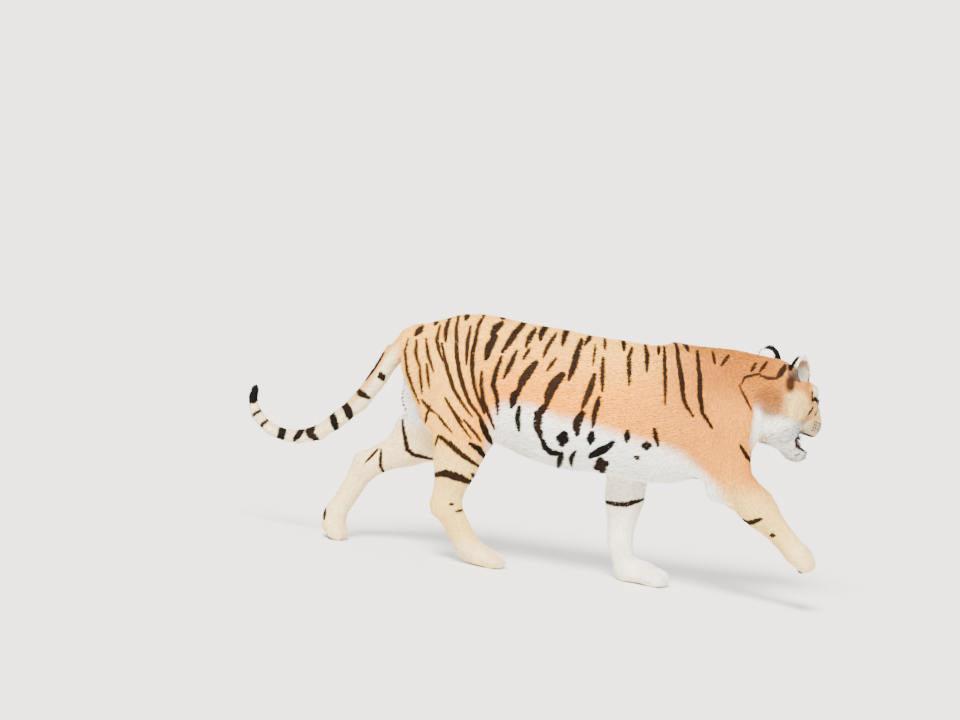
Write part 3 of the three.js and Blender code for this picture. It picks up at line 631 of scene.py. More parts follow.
# %% Bands of the legs and tail
STRIPES += [
    (7, 0.5, 0, (-468, 552), (-476, 520), (-476, 488)),
    (7, 0.4, 0, (-440, 528), (-400, 488), (-376, 468)),
    (7, 0.45, 0, (-392, 552), (-352, 504), (-304, 456)),
    (8, 0.5, 0, (-340, 520), (-296, 480), (-264, 448)),
    (6, 0.5, 0, (-424, 448), (-428, 408)),
    (15, 0.65, 0.35, (-420, 448), (-376, 424), (-328, 392), (-264, 360)),
    (16, 0.95, 0, (-304, 436), (-272, 424), (-240, 388)),
    (12, 0.9, 0, (-284, 328), (-264, 312)),
    (22, 0.75, 0.3, (-408, 304), (-376, 316), (-328, 308), (-272, 292)),
    (9, 0.5, 0, (-346, 204), (-332, 206)),
    (7, 0.5, 0, (-320, 180), (-296, 188)),
    (12, 0.75, 0, (-564, 472), (-548, 424), (-532, 376), (-504, 360), (-432, 356)),
    (9, 0.65, 0, (-628, 360), (-624, 304), (-604, 272), (-580, 272)),
    (7, 0.3, 0, (-640, 360), (-680, 304)),
    (8, 0.5, 0, (-804, 120), (-800, 72)),
    (14, 0.8, 0.2, (228, 292), (260, 288), (300, 292), (364, 320)),
    (14, 0.75, 0.3, (728, 304), (748, 296), (768, 304), (796, 320)),
    (12, 0.4, 0, (840, 264), (856, 264)),
    (12, 0.55, 0, (-668, 720), (-720, 608)),
    (22, 0.8, 0.3, (-668, 640), (-660, 624)),
    (18, 0.8, 0.2, (-752, 572), (-726, 556), (-700, 548)),
    (24, 0.9, 0.2, (-790, 516), (-770, 490), (-756, 458)),
    (20, 0.95, 0, (-832, 478), (-816, 444), (-802, 408)),
    (20, 0.9, 0.3, (-884, 424), (-900, 384), (-862, 362)),
    (16, 0.9, 0, (-926, 392), (-938, 372), (-952, 352)),
    (22, 0.95, 0, (-1004, 394), (-1000, 366), (-1010, 334)),
    (10, 0.8, 0, (-1058, 412), (-1076, 392), (-1084, 366)),
    (9, 0.8, 0, (-1082, 448), (-1104, 430), (-1122, 412)),
    (50, 1, 0, (-1122, 560), (-1126, 500), (-1128, 476)),
]
print(len(STRIPES), "strokes in all")

# %% [markdown]
# A place is inside a stroke when its distance from the stroke's line is less than half the stroke's
# width there. Asking that of every corner of the skin, and of every tuft, gives both the same
# pattern without an image.

# %% Draw strokes over side positions
SIGHT = math.radians(6)  # the side view of the markings looks down by this much


def side_view(body):
    """Side positions; the left flank's are warped a little so that its stripes differ."""
    x, y, z = body.T
    far_leg = smooth_step(500, 440, z) * (y > 0)
    across = -np.abs(y) * (1 - far_leg) + y * far_leg
    high = z * math.cos(SIGHT) + across * math.sin(SIGHT)
    left = smooth_step(20, 90, y) * (1 - far_leg) * (x > -600)
    forward = x + left * (13 * np.sin(high / 70) + 9 * np.sin(x / 61 + 1))
    return forward, high + left * 9 * np.sin(x / 47)


def wobble(x, z):
    """Waves a few centimetres long, under 2 mm high, that make a stroke's edge uneven."""
    return np.sin(x / 5.1 + 1.7 * np.sin(z / 9.3)) + np.sin(z / 6.7 + 2.1 * np.sin(x / 7.9)) * 0.8


def draw(strokes, x, z, edge=1.8):
    """How much stroke covers each place, and how dark it is there."""
    cover = np.zeros(len(x))
    dark = np.zeros(len(x))
    ragged = wobble(x, z)
    for width, tone, split, *line in strokes:
        line = np.array(line, float)
        low, high = line.min(0) - width, line.max(0) + width
        near = np.flatnonzero((x > low[0]) & (x < high[0]) & (z > low[1]) & (z < high[1]))
        if len(near) == 0:
            continue
        spot = np.stack([x[near], z[near]], 1)
        lengths = np.linalg.norm(np.diff(line, axis=0), axis=1)
        total = lengths.sum()
        best = np.full(len(near), 1e9)
        where = np.zeros(len(near))
        for n, (a, b) in enumerate(zip(line, line[1:])):
            t = np.clip((spot - a) @ (b - a) / lengths[n] ** 2, 0, 1)
            off = np.linalg.norm(spot - a - t[:, None] * (b - a), axis=1)
            closer = off < best
            best = np.where(closer, off, best)
            where = np.where(closer, (lengths[:n].sum() + t * lengths[n]) / total, where)
        full = 0.38 + 0.62 * np.sin(np.pi * np.clip(0.1 + where * 0.86, 0, 1)) ** 0.8
        half = (width * 0.7 + 1) * full + ragged[near] * min(0.7, width / 30)
        over = smooth_step(-edge, edge, half - best)
        middle = split * smooth_step(0.18 * width, 0.4 * width, half - best)
        stronger = over > cover[near]
        cover[near] = np.where(stronger, over, cover[near])
        dark[near] = np.where(stronger, tone * (1 - 0.5 * middle), dark[near])
    return cover, dark

# %% [markdown]
# ## Ground colours
#
# Under the stripes a tiger is deep orange on the neck and back, paler on the flank and thigh, and
# white on the belly, the throat, the cheeks, the brows and the inner sides of the legs. Here the back
# is painted paler than the flank, as painted light from above. Each of
# these is a soft-edged region, mixed in one after the other. The hex values are what a paint chart
# would show; one function turns them to the linear light values that a renderer works in.

# %% Colours


def linear(hex_colour):
    value = np.array([int(hex_colour[n:n + 2], 16) / 255 for n in (1, 3, 5)])
    return np.where(value <= 0.04045, value / 12.92, ((value + 0.055) / 1.055) ** 2.4)


# painted light: the back is painted paler and yellower than the flank, as if lit from above
LIT_BACK = linear("#F9B446")
FLANK = linear("#F2951A")
THIGH = linear("#FBB54A")
SHOULDER = linear("#D4862F")
NECK = linear("#A8601A")
LEG = linear("#F8D480")
PAW = linear("#F6D9A2")
WHITE = linear("#FCF8F0")
CREAM = linear("#F8E6B6")
TAIL_TOP = linear("#DFA458")
CROWN = linear("#C07A32")
CHEEK = linear("#F4CC80")
BROWN = linear("#38200F")
BLACK = linear("#070504")
LIP = linear("#0B0706")
# the pink inside of the mouth, darkened as painted shade
MOUTH = linear("#5A2C29")
EAR_INSIDE = linear("#A89C8C")
# painted shade: a brown for the shade in the ear cups and in the hollow behind the cheek ruff
PAINTED_SHADE_BROWN = linear("#7C4A20")
MUZZLE = linear("#C6B49C")


def mix(colour, other, share):
    return colour + (other - colour) * np.asarray(share)[..., None]


def spot(places, centre, radii, soft=0.35):
    """1 inside an egg, 0 outside it, with a soft edge."""
    size = np.linalg.norm((places - np.array(centre)) / np.array(radii), axis=1)
    return smooth_step(1 + soft, 1 - soft, size)


# %% The body's ground colour
BELLY_LINE = np.array([(-330, 500), (-260, 560), (-200, 592), (-100, 598), (0, 568), (100, 568),
                       (200, 546), (300, 530), (400, 520), (480, 498), (560, 446), (620, 396),
                       (700, 330)])


def ground_colour(body, normal, way):
    x, z = side_view(body)
    side = np.where(body[:, 1] > 0, 1, -1)
    inward = -normal[:, 1] * side
    high = body[:, 2]
    # painted light: the colour turns paler towards the top of the back
    colour = mix(np.tile(FLANK, (len(x), 1)), LIT_BACK, smooth_step(640, 880, z))
    colour = mix(colour, SHOULDER, smooth_step(160, 480, x) * 0.9)
    colour = mix(colour, NECK, smooth_step(280, 600, x) * smooth_step(640, 840, z))
    colour = mix(colour, THIGH, smooth_step(-240, -420, x) * smooth_step(900, 780, z))
    colour = mix(colour, LEG, smooth_step(470, 330, z) * 0.85)
    colour = mix(colour, PAW, smooth_step(110, 40, z) * (x < 600))
    colour = mix(colour, PAW, smooth_step(860, 980, x) * smooth_step(330, 230, z) * 0.8)
    line = np.interp(x, *BELLY_LINE.T)
    belly = smooth_step(40, -26, z - line) * smooth_step(-330, -240, x) * smooth_step(700, 600, x)
    outer_thigh = smooth_step(-200, -270, x) * smooth_step(0.2, -0.3, inward) * (side < 0)
    belly *= (1 - outer_thigh) * (1 - smooth_step(-60, -150, x) * smooth_step(420, 350, high))
    under = smooth_step(-0.45, -0.8, normal[:, 2]) * smooth_step(620, 540, high) * (high > 370)
    inner = smooth_step(-0.1, 0.45, inward) * smooth_step(500, 430, high)
    groin = smooth_step(-0.1, 0.35, inward) * smooth_step(720, 620, high) * (x < -230) * (x > -640)
    breast = smooth_step(0.5, 0.85, normal[:, 0]) * smooth_step(700, 600, high) * (x > 640)
    breast *= smooth_step(80, 50, np.abs(body[:, 1])) * (high > 480)
    bib = smooth_step(700, 724, x + wobble(x, z)) * smooth_step(764, 690, z) * smooth_step(540, 620, z)
    for region in (belly, under * (x > -600), groin, breast):
        colour = mix(colour, WHITE, np.clip(region, 0, 1))
    colour = mix(colour, mix(WHITE, MUZZLE, smooth_step(730, 752, x)), bib)
    colour = mix(colour, mix(WHITE, PAW, (0.3 + 0.7 * (x < -400))), inner)
    on_tail = smooth_step(-596, -640, body[:, 0]) * (np.abs(body[:, 1] - 14) < 52)
    dorsal = normal[:, 0] * way[:, 2] - normal[:, 2] * way[:, 0]
    tail = mix(np.tile(CREAM, (len(x), 1)), TAIL_TOP,
               smooth_step(0.1, 0.8, dorsal) * (0.35 + 0.65 * smooth_step(-860, -680, x)))
    tail_near = smooth_step(70, 52, distance_to(TAIL_PATH, body))
    return mix(colour, tail, on_tail * tail_near)


# %% [markdown]
# The face has its own pattern, the same on both halves: white brows and cheeks with black bars,
# bars over the forehead, dark rims to the eyes and lips, and rows of dots on the pads where the
# whiskers grow. It is drawn in the head's axes.

# %% Bars of the head: from the side over (u, w), and from above over (u, v)
HEAD_SIDE_BARS = [
    (9, 0.9, 0, (101, 8), (80, 14), (58, 4)),
    (8, 0.9, 0, (68, 46), (56, 22), (52, -6)),
    (8, 0.95, 0, (66, -14), (54, -32), (42, -52)),
    (9, 0.95, 0, (36, 4), (18, -34), (24, -78), (46, -104)),
    (8, 0.9, 0, (-2, -4), (-22, -50), (-16, -96), (6, -130)),
    (8, 0.8, 0, (-42, 10), (-60, -44), (-54, -90)),
    (6, 0.9, 0, (113, -12), (105, -30), (97, -36)),
    (7, 0.6, 0, (38, -58), (38, -62)),
    (9, 0.4, 0, (146, -166), (142, -170)),
]
HEAD_TOP_BARS = [
    (7, 0.9, 0, (128, 5), (112, 14), (98, 30)),
    (7, 0.9, 0, (104, 4), (90, 16), (80, 40)),
    (8, 0.9, 0, (82, 3), (66, 18), (58, 46)),
    (8, 0.9, 0, (54, 4), (40, 20), (36, 50)),
    (8, 0.85, 0, (24, 5), (10, 22), (8, 46)),
    (8, 0.8, 0, (-8, 8), (-24, 26), (-26, 50)),
]
PAD_DOTS = [(u, w) for row, w in enumerate((-52, -61, -70, -79)) for u in
            np.arange(136 + 3 * row, 194 - 3 * row, 10)]
MOUTH_TOP = ([76, 92, 290], [-114, -101, -101])
MOUTH_FLOOR = ([76, 100, 290], [-114, -136, -153])
LOWER_LIP = ([70, 84, 140, 205], [8, 17, 15, 7])  # how far down the black of the lower lip reaches


def head_share(body):
    """How far each place belongs to the head, and its place there."""
    head = to_head(body)
    near = np.linalg.norm(head - (60, 0, -30), axis=1)
    return smooth_step(-105, -60, head[:, 0]) * smooth_step(240, 215, near), head


def head_ground(body, colour):
    on_head, head = head_share(body)
    u = head[:, 0]
    face = head * (1, 0, 1) + np.abs(head) * (0, 1, 0)
    tone = mix(np.tile(CROWN, (len(u), 1)), CHEEK, smooth_step(30, 110, u) * 0.8)
    tone = mix(tone, CHEEK, spot(face, (-16, 112, -34), (66, 40, 50)) * 0.9)
    tone = mix(tone, WHITE, spot(face, (98, 62, 34), (30, 28, 15), 0.6) * 0.9)
    tone = mix(tone, WHITE, spot(face, (134, 54, -18), (24, 18, 13), 0.7) * 0.7)
    tone = mix(tone, WHITE, spot(face, (-6, 92, -118), (96, 62, 42)) * 0.95)
    tone = mix(tone, WHITE, spot(face, (86, 74, -90), (46, 30, 30)) * 0.8)
    tone = mix(tone, MUZZLE, spot(face, (166, 38, -74), (54, 36, 38)) * 0.9)
    tone = mix(tone, WHITE, spot(face, (190, 16, -84), (30, 20, 26)) * 0.8)
    tone = mix(tone, WHITE, smooth_step(-108, -126, head[:, 2]) * smooth_step(-60, 0, u) * 0.9)
    colour = mix(colour, tone, on_head)
    colour = mix(colour, WHITE, spot(face, (-44, 90, -130), (72, 56, 36), 0.5) * 0.95)
    # painted shade: a brown patch in the hollow behind the cheek ruff
    return mix(colour, PAINTED_SHADE_BROWN, spot(face, (-102, 66, -52), (40, 64, 46), 0.45) * 0.85)


def head_marks(body, normal, colour):
    on_head, head = head_share(body)
    u, v, w = head.T
    wide = np.abs(v)
    up = normal @ HEAD_AXES[:, 2]
    side_cover, side_dark = draw(HEAD_SIDE_BARS, u, w, 1.5)
    side_cover *= (wide > 30) * smooth_step(0.75, 0.45, up)
    side_cover *= 1 - 0.85 * (v < 0) * smooth_step(50, 30, u)
    top_cover, top_dark = draw(HEAD_TOP_BARS, u, wide, 1.5)
    top_cover *= smooth_step(0.2, 0.5, up)
    for cover, dark in ((side_cover, side_dark), (top_cover, top_dark)):
        bar = mix(np.tile(BROWN, (len(u), 1)), BLACK, dark)
        colour = mix(colour, bar, cover * on_head)
    dots = np.zeros(len(u))
    for du, dw in PAD_DOTS:
        dots = np.maximum(dots, smooth_step(5.0, 3.0, np.hypot(u - du, w - dw)))
    colour = mix(colour, BLACK, dots * (wide > 20) * 0.85 * on_head)
    top, floor_line = np.interp(u, *MOUTH_TOP), np.interp(u, *MOUTH_FLOOR)
    deep = np.interp(u, *LOWER_LIP)
    lower = smooth_step(deep + 1.5, deep - 1.5, floor_line - w) * (w < floor_line + 5)
    lips = np.maximum(smooth_step(7, 4, np.abs(w - top)) * (u < 219), lower) * (u > 76)
    lips = np.maximum(lips, smooth_step(15, 11, np.hypot(u - 78, (w + 120) * 0.7)) * (wide > 36))
    colour = mix(colour, LIP, lips * on_head)
    # inside the open mouth: its own pink, painted dark as painted shade
    within = (u > 80) & (w < top + 0.5) & (w > floor_line - 1.5)
    lip_line = np.interp(u, [80, 130, 170, 210], [60, 52, 46, 12])
    return mix(colour, MOUTH, within * smooth_step(0, 10, lip_line - wide))


# %% [markdown]
# A tiger's ears are black behind with one white spot, and pale inside; here the hollow of each cup is
# painted brown, as painted shade. The eyes have a black rim that runs down into a tear line at the
# inner corner.

# %% Ears and eye rims
def small_marks(body, normal, colour):
    head = to_head(body)
    for side, _ in SIDES:
        ear = to_ear(head, side)
        ear_normal = (normal @ HEAD_AXES) @ EAR_FRAMES[side]
        on_ear = spot(ear, (0, 0, 6), (44, 56, 72), 0.08)
        back = on_ear * smooth_step(0.25, -0.15, ear_normal[:, 0])
        front = on_ear * smooth_step(-0.15, 0.25, ear_normal[:, 0]) * (ear[:, 2] > -20)
        spot_height, spot_size = (34, 20) if side == LEFT else (52, 17)
        across_spot = (ear[:, 1] - (18 if side == LEFT else 0)) / 1.1
        white_spot = smooth_step(spot_size, spot_size - 4,
                                 np.hypot(across_spot, ear[:, 2] - spot_height))
        colour = mix(colour, mix(np.tile(BLACK, (len(body), 1)), WHITE, white_spot),
                     back * smooth_step(-34, -20, ear[:, 2]))
        # painted shade: the cup's hollow is painted brown towards its middle, and its rear lower part
        # darker brown
        inside = mix(np.tile(EAR_INSIDE, (len(body), 1)), PAINTED_SHADE_BROWN, 0.75 * smooth_step(8, 34, ear[:, 2]))
        edge = np.hypot(ear[:, 1] / 47, ear[:, 2] / 66)
        inside = mix(inside, CREAM, smooth_step(0.82, 0.94, edge) * smooth_step(14, 36, ear[:, 2]))
        rear = smooth_step(2, 22, side * ear[:, 1]) * smooth_step(40, 14, ear[:, 2])
        inside = mix(mix(inside, BROWN, rear * 0.85), WHITE, smooth_step(40, 52, ear[:, 2]))
        colour = mix(colour, inside, front * smooth_step(-30, -16, ear[:, 2]))
        behind = spot(head, (-60, side * 86, 28), (16, 22, 32), 0.4)
        colour = mix(colour, BROWN, behind)
        centre, radius, axes = EYES[side]
        ahead, across, up = ((body - centre) / radius @ axes.T).T
        rim = np.hypot(across / (OPEN_LONG + 0.22), (up + 0.02) / (OPEN_HIGH + 0.28))
        dark = smooth_step(1.14, 0.98, rim) * (ahead > 0.1) * (np.abs(ahead) < 1.5)
        tear = smooth_step(0.2, 0.1, np.abs(up + 0.2 - (across + 0.9) * 0.5))
        dark = np.maximum(dark, tear * (across < -0.8) * (across > -1.45) * (ahead > 0) * (ahead < 1.5))
        colour = mix(colour, BLACK, dark)
    return colour


def coat_colour(body, normal, way):
    x, z = side_view(body)
    colour = head_ground(body, ground_colour(body, normal, way))
    cover, dark = draw(STRIPES, x, z)
    cover *= 1 - head_share(body)[0] * smooth_step(-40, 0, to_head(body)[:, 0])
    leg_back = (body[:, 2] < 470) & (body[:, 1] > 20) & (x > 560)
    cover *= ~leg_back
    colour = mix(colour, mix(np.tile(BROWN, (len(x), 1)), BLACK, dark), cover)
    return small_marks(body, normal, head_marks(body, normal, colour))


def paint(mesh, colours):
    """Stores a colour for each corner, as the attribute that the finishes read."""
    layer = mesh.color_attributes.new("Coat", "FLOAT_COLOR", "POINT")
    layer.data.foreach_set("color", np.c_[colours, np.ones(len(colours))].astype(np.float32).ravel())


skin_places = corners_of(skin)
skin_normals = normals_of(skin)
skin_body = to_body(skin_places)
skin_way, skin_coat = blend_coat(skin_body)
skin_colour = coat_colour(skin_body, skin_normals, skin_way)
paint(skin.data, skin_colour)
print("painted", len(skin_colour), "corners")

# %% [markdown]
# ## Finishes
#
# Hair is horn: each is a smooth fibre with a soft gloss, so a coat is matt with a faint sheen along
# the light's edge. The skin's own finish adds the finest hair as a bump, because short flat hair is
# too fine to model one by one. Both take their colour from the painted attribute.

# %% A node helper and the hair material


def add_node(tree, kind, links=(), **values):
    """Adds a node, sets its properties or input values, and links inputs from other sockets."""
    node = tree.nodes.new(kind)
    for key, value in values.items():
        if hasattr(node, key):
            setattr(node, key, value)
        else:
            node.inputs[key.replace("_", " ")].default_value = value
    for name, socket in links:
        tree.links.new(socket, node.inputs[name])
    return node


def new_material(name, **values):
    material = bpy.data.materials.new(name)
    material.use_nodes = True
    shader = material.node_tree.nodes["Principled BSDF"]
    for key, value in values.items():
        shader.inputs[key.replace("_", " ")].default_value = value
    return material, material.node_tree, shader


def opaque(colour):
    return (*[float(c) for c in colour], 1.0)


# Tiger hair: keratin fibres with an IOR near 1.5, dull as a mass, with a little sheen at the edge.
hair, tree, shader = new_material("tiger_hair", Roughness=0.65, IOR=1.5, Sheen_Weight=0.01,
                                  Sheen_Roughness=0.4, Specular_IOR_Level=0.08)
painted = add_node(tree, "ShaderNodeAttribute", attribute_name="Coat")
tree.links.new(painted.outputs["Color"], shader.inputs["Base Color"])

# Skin with down: the same colour, with hair-fine grain about 2 mm long as bump; the grain
# also darkens the colour in its hollows, as painted shade.
down, tree, shader = new_material("downy_skin", Roughness=0.75, IOR=1.45, Sheen_Weight=0.01,
                                  Sheen_Roughness=0.5, Specular_IOR_Level=0.1)
painted = add_node(tree, "ShaderNodeAttribute", attribute_name="Coat")
where = add_node(tree, "ShaderNodeTexCoord")
grain = add_node(tree, "ShaderNodeTexNoise", [("Vector", where.outputs["Object"])],
                 Scale=1 / 0.0022, Detail=3.0, Roughness=0.6)
# painted shade: the colour is darker where the grain's bump is low, lighter on its crests
shade = add_node(tree, "ShaderNodeMapRange", [("Value", grain.outputs["Fac"])],
                 From_Min=0.3, From_Max=0.7, To_Min=0.86, To_Max=1.08)
tinted = add_node(tree, "ShaderNodeVectorMath", [(0, painted.outputs["Color"])],
                  operation="SCALE")
tree.links.new(shade.outputs["Result"], tinted.inputs["Scale"])
tree.links.new(tinted.outputs["Vector"], shader.inputs["Base Color"])
bump = add_node(tree, "ShaderNodeBump", [("Height", grain.outputs["Fac"])],
                Strength=0.5, Distance=0.0012)
tree.links.new(bump.outputs["Normal"], shader.inputs["Normal"])


def finish_piece(piece, material, replaces=()):
    """Gives a finished piece its material and body, and hides the solids that it replaces."""
    piece.data.materials.clear()
    piece.data.materials.append(material)
    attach(piece, "root")
    if replaces:
        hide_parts(*replaces)
    return piece


finish_piece(skin, down, FLESH)
print("skin stands for", len(FLESH), "solids")

# %% [markdown]
# ## The coat
#
# A coat could be grown as hair curves, but a model that is to be baked and copied needs a mesh. A
# tuft here is a few dozen hairs that cling together: a spindle of six faces, its root under the
# skin, widest before its middle, its tip lying close to the body. Nearly a quarter of a million of
# them overlap like the hairs of a real coat. They are scattered over the skin's faces, thicker where
# the table says so, and none grow on eyes, nose leather, lips or soles.

# %% Scatter the roots
SEED = 11
random = np.random.default_rng(SEED)
SHARE = 0.97  # of the tufts that the table asks for

triangles = read_all(skin.data.polygons, "vertices", 3, np.int32)
a, b, c = (skin_places[triangles[:, k]] for k in range(3))
area = np.linalg.norm(np.cross(b - a, c - a), axis=1) / 2
face_coat = skin_coat[triangles].mean(1)
middle = skin_body[triangles].mean(1)


def bare_places(body, normal):
    """1 where no hair grows: eyes, nose leather, lips, the mouth, soles."""
    head = to_head(body)
    u, v, w = head.T
    bare = (u > 72) & (w < np.interp(u, *MOUTH_TOP) + 5) & (
        w > np.interp(u, *MOUTH_FLOOR) - np.interp(u, *LOWER_LIP))
    bare |= np.linalg.norm((head - (212, 0, -30)) / (18, 25, 19), axis=1) < 1
    for side, _ in SIDES:
        centre, radius, axes = EYES[side]
        ahead, across, up = ((body - centre) / radius @ axes.T).T
        bare |= (np.hypot(across / (OPEN_LONG + 0.1), up / (OPEN_HIGH + 0.14)) < 1) & (
            ahead > 0.1) & (ahead < 1.6)
    return bare | ((body[:, 2] < 14) & (normal[:, 2] < -0.5))


face_normal = unit(np.cross(b - a, c - a))
density = face_coat[:, 3] * 1e4 * ~bare_places(middle, face_normal)
wanted = area * density * SHARE
COUNT = int(wanted.sum())
marks = (np.arange(COUNT) + random.random(COUNT)) / COUNT * wanted.sum()
chosen = np.minimum(np.searchsorted(np.cumsum(wanted), marks), len(wanted) - 1)
r, s = np.sqrt(random.random(COUNT)), random.random(COUNT)
bary = np.stack([1 - r, r * (1 - s), r * s], 1)
root = np.einsum("nk,nkj->nj", bary, skin_places[triangles[chosen]])
root_normal = unit(np.einsum("nk,nkj->nj", bary, skin_normals[triangles[chosen]]))
root_map = np.einsum("nk,nkj->nj", bary, SKIN_MAP[chosen])
print(COUNT, "tufts over", area.sum().round(2), "square metres")

# %% [markdown]
# Each tuft lies along the coat's direction, drooping a little on the flanks and swung a little from
# its neighbour. Real hairs gather in locks. Noise in small cells, smeared along the lie, gives whole
# rows of tufts one value, and that lifts and lightens them together. A tuft takes its colours from
# the painted pattern at three places along its length, so a stripe's edge stays sharp.

# %% Lay the tufts
DROOP = 0.28  # how far hair on upright skin turns down, against a run of 1 along the row
SWING = 0.13  # radians
WIDEST = 0.42  # as a share of a tuft's length
COLOUR_AT = (0.25, 0.45, 0.7)  # shares of its length where a tuft looks up its colours
LOCK_CELL = 6.0  # millimetres
LOCK_STEPS = 9
# painted shade: each tuft darkens towards its root, where the tufts cover one another
TUFT_PAINTED_SHADE = np.array([0.62, 0.94, 1.0, 0.94, 1.08])  # darker at the root, lighter at the tip
root_body = to_body(root)
way, coat_here = blend_coat(root_body)
length, width, depth = (coat_here[:, k] / 1000 for k in range(3))
way = way + np.array([0, 0, -DROOP]) * smooth_step(0.3, 0.8, np.abs(root_normal[:, 1]))[:, None]
across = unit(np.cross(root_normal, way))
lie = np.cross(across, root_normal)
swing = random.normal(0, SWING, COUNT)
lie = unit(lie * np.cos(swing)[:, None] + across * np.sin(swing)[:, None])
across = np.cross(root_normal, lie)
firm = np.linalg.norm(np.cross(root_normal, way), axis=1)
length = length * random.uniform(0.75, 1.25, COUNT) * (0.5 + 0.5 * smooth_step(0.15, 0.65, firm))
width = width * random.uniform(0.75, 1.2, COUNT)
cells = random.random((64, 64, 64))
lock = np.zeros(COUNT)
for step in np.linspace(-1, 1, LOCK_STEPS):
    along_lock = root_body + lie * step * (25 + 900 * length[:, None])
    lock += cells[tuple((np.floor(along_lock / LOCK_CELL).astype(int) % len(cells)).T)]
lock = (lock - lock.mean()) / lock.std()
crest = depth * random.uniform(0.3, 0.8, COUNT) * (1 + 0.22 * lock).clip(0.4, 1.6)
tip = depth * random.uniform(0.15, 1.0, COUNT) * (1 + 0.35 * lock).clip(0.2, 1.9)


def place(along, side, up):
    return root + lie * (along * length)[:, None] + across * (side * width)[:, None] \
        + root_normal * np.broadcast_to(up, (COUNT,))[:, None]


tuft_points = np.stack([
    place(-0.05, 0, -0.0008),
    place(WIDEST, 0.5, crest - width * 0.08),
    place(WIDEST, 0, crest + width * 0.16),
    place(WIDEST, -0.5, crest - width * 0.08),
    place(1.0, 0, tip),
], 1)
tuft_points[:, :, 2] = np.maximum(tuft_points[:, :, 2], 0.0003)
TUFT_FACES = np.array([(0, 2, 1), (0, 3, 2), (0, 1, 3), (4, 1, 2), (4, 2, 3), (4, 3, 1)])
tuft_normals = np.stack([
    root_normal, unit(root_normal + across * 0.6), unit(root_normal + lie * 0.05),
    unit(root_normal - across * 0.6), unit(root_normal + lie * 0.3),
], 1)
tuft_colour = np.stack([
    coat_colour(root_body + lie * (1000 * along * length)[:, None], root_normal, way)
    for along in COLOUR_AT], 1)[:, [0, 1, 1, 1, 2]]
tuft_colour *= (random.normal(1.0, 0.09, COUNT) + 0.09 * lock).clip(0.6, 1.35)[:, None, None]
# painted shade towards each tuft's root
tuft_colour *= TUFT_PAINTED_SHADE[None, :, None]
PATCH = np.array([(-0.0014, 0), (0.0, 0.0014), (0, 0), (0, -0.0014), (0.0014, 0)])
tuft_map = root_map[:, None, :] + PATCH
print("tufts laid", tuft_points.shape)

# %% [markdown]
# The tufts become a few pieces, by part of the body and then by chance into layers, so that none
# grows past 200,000 faces. Arrays build them, because no operator could lay so many. Each tuft also
# gets its patch of the skin's map, for baking.

# %% Join the tufts into pieces of coat
PIECES = {}
LAYER = random.random(COUNT)
taken = np.zeros(COUNT, bool)
for part, inside, layers in (
    ("head", np.linalg.norm(to_head(root_body) - (60, 0, -30), axis=1) < 190, 2),
    ("tail", (root_body[:, 0] < -610) & (distance_to(TAIL_PATH, root_body) < 60), 1),
    ("legs", root_body[:, 2] < 400, 2),
    ("neck", root_body[:, 0] > 560, 1),
    ("body", root_body[:, 2] > 0, 5),
):
    for n in range(layers):
        use = inside & ~taken & (LAYER >= n / layers) & (LAYER < (n + 1) / layers)
        PIECES[f"coat_{part}_{n + 1}"] = use
    taken |= inside


def mesh_of_tufts(name, use):
    """One mesh from the chosen tufts, made straight from arrays."""
    count = int(use.sum())
    mesh = bpy.data.meshes.new(name)
    faces = (TUFT_FACES[None] + 5 * np.arange(count)[:, None, None]).reshape(-1, 3)
    mesh.vertices.add(count * 5)
    mesh.vertices.foreach_set("co", tuft_points[use].astype(np.float32).ravel())
    mesh.loops.add(faces.size)
    mesh.loops.foreach_set("vertex_index", faces.astype(np.int32).ravel())
    mesh.polygons.add(len(faces))
    mesh.polygons.foreach_set("loop_start", np.arange(0, faces.size, 3, dtype=np.int32))
    mesh.polygons.foreach_set("use_smooth", np.ones(len(faces), bool))
    mesh.update(calc_edges=True)
    paint(mesh, tuft_colour[use].reshape(-1, 3))
    patches = mesh.uv_layers.new(name="OFBake")
    patches.data.foreach_set("uv", tuft_map[use].reshape(-1, 2)[faces.ravel()].astype(np.float32).ravel())
    mesh.normals_split_custom_set_from_vertices(tuft_normals[use].reshape(-1, 3).astype(np.float32))
    piece = bpy.data.objects.new(name, mesh)
    bpy.context.collection.objects.link(piece)
    return piece


for name, use in PIECES.items():
    piece = mesh_of_tufts(name, use)
    finish_piece(piece, hair)
    print(name, len(piece.data.polygons), "faces")

# %% [markdown]
# ## Glass eyes
#
# Seen from outside an eye is a wet ball: a near-black round pupil in an amber iris with a darker
# edge, and hardly any white. A ball modelled with its pole on the line of sight gets a map that
# says how far each corner is from that line, and the finish is a ramp over it.

# %% Eyeballs
glass_eye, tree, shader = new_material("wet_amber_eye", Roughness=0.12, IOR=1.38, Coat_Weight=0.3,
                                       Coat_Roughness=0.04, Specular_IOR_Level=0.25)
ball_map = add_node(tree, "ShaderNodeUVMap", uv_map="Sight")
parts = add_node(tree, "ShaderNodeSeparateXYZ", [("Vector", ball_map.outputs["UV"])])
ramp = add_node(tree, "ShaderNodeValToRGB", [("Fac", parts.outputs["X"])])
IRIS = [(0.0, "#020202"), (0.13, "#020202"), (0.14, "#5E3C08"), (0.21, "#B07A12"),
        (0.26, "#7A5010"), (0.285, "#0C0704"), (0.33, "#0A0604"), (1.0, "#140C09")]
while len(ramp.color_ramp.elements) < len(IRIS):
    ramp.color_ramp.elements.new(0.5)
for element, (at, colour) in zip(ramp.color_ramp.elements, IRIS):
    element.position = at
    element.color = opaque(linear(colour))
tree.links.new(ramp.outputs["Color"], shader.inputs["Base Color"])

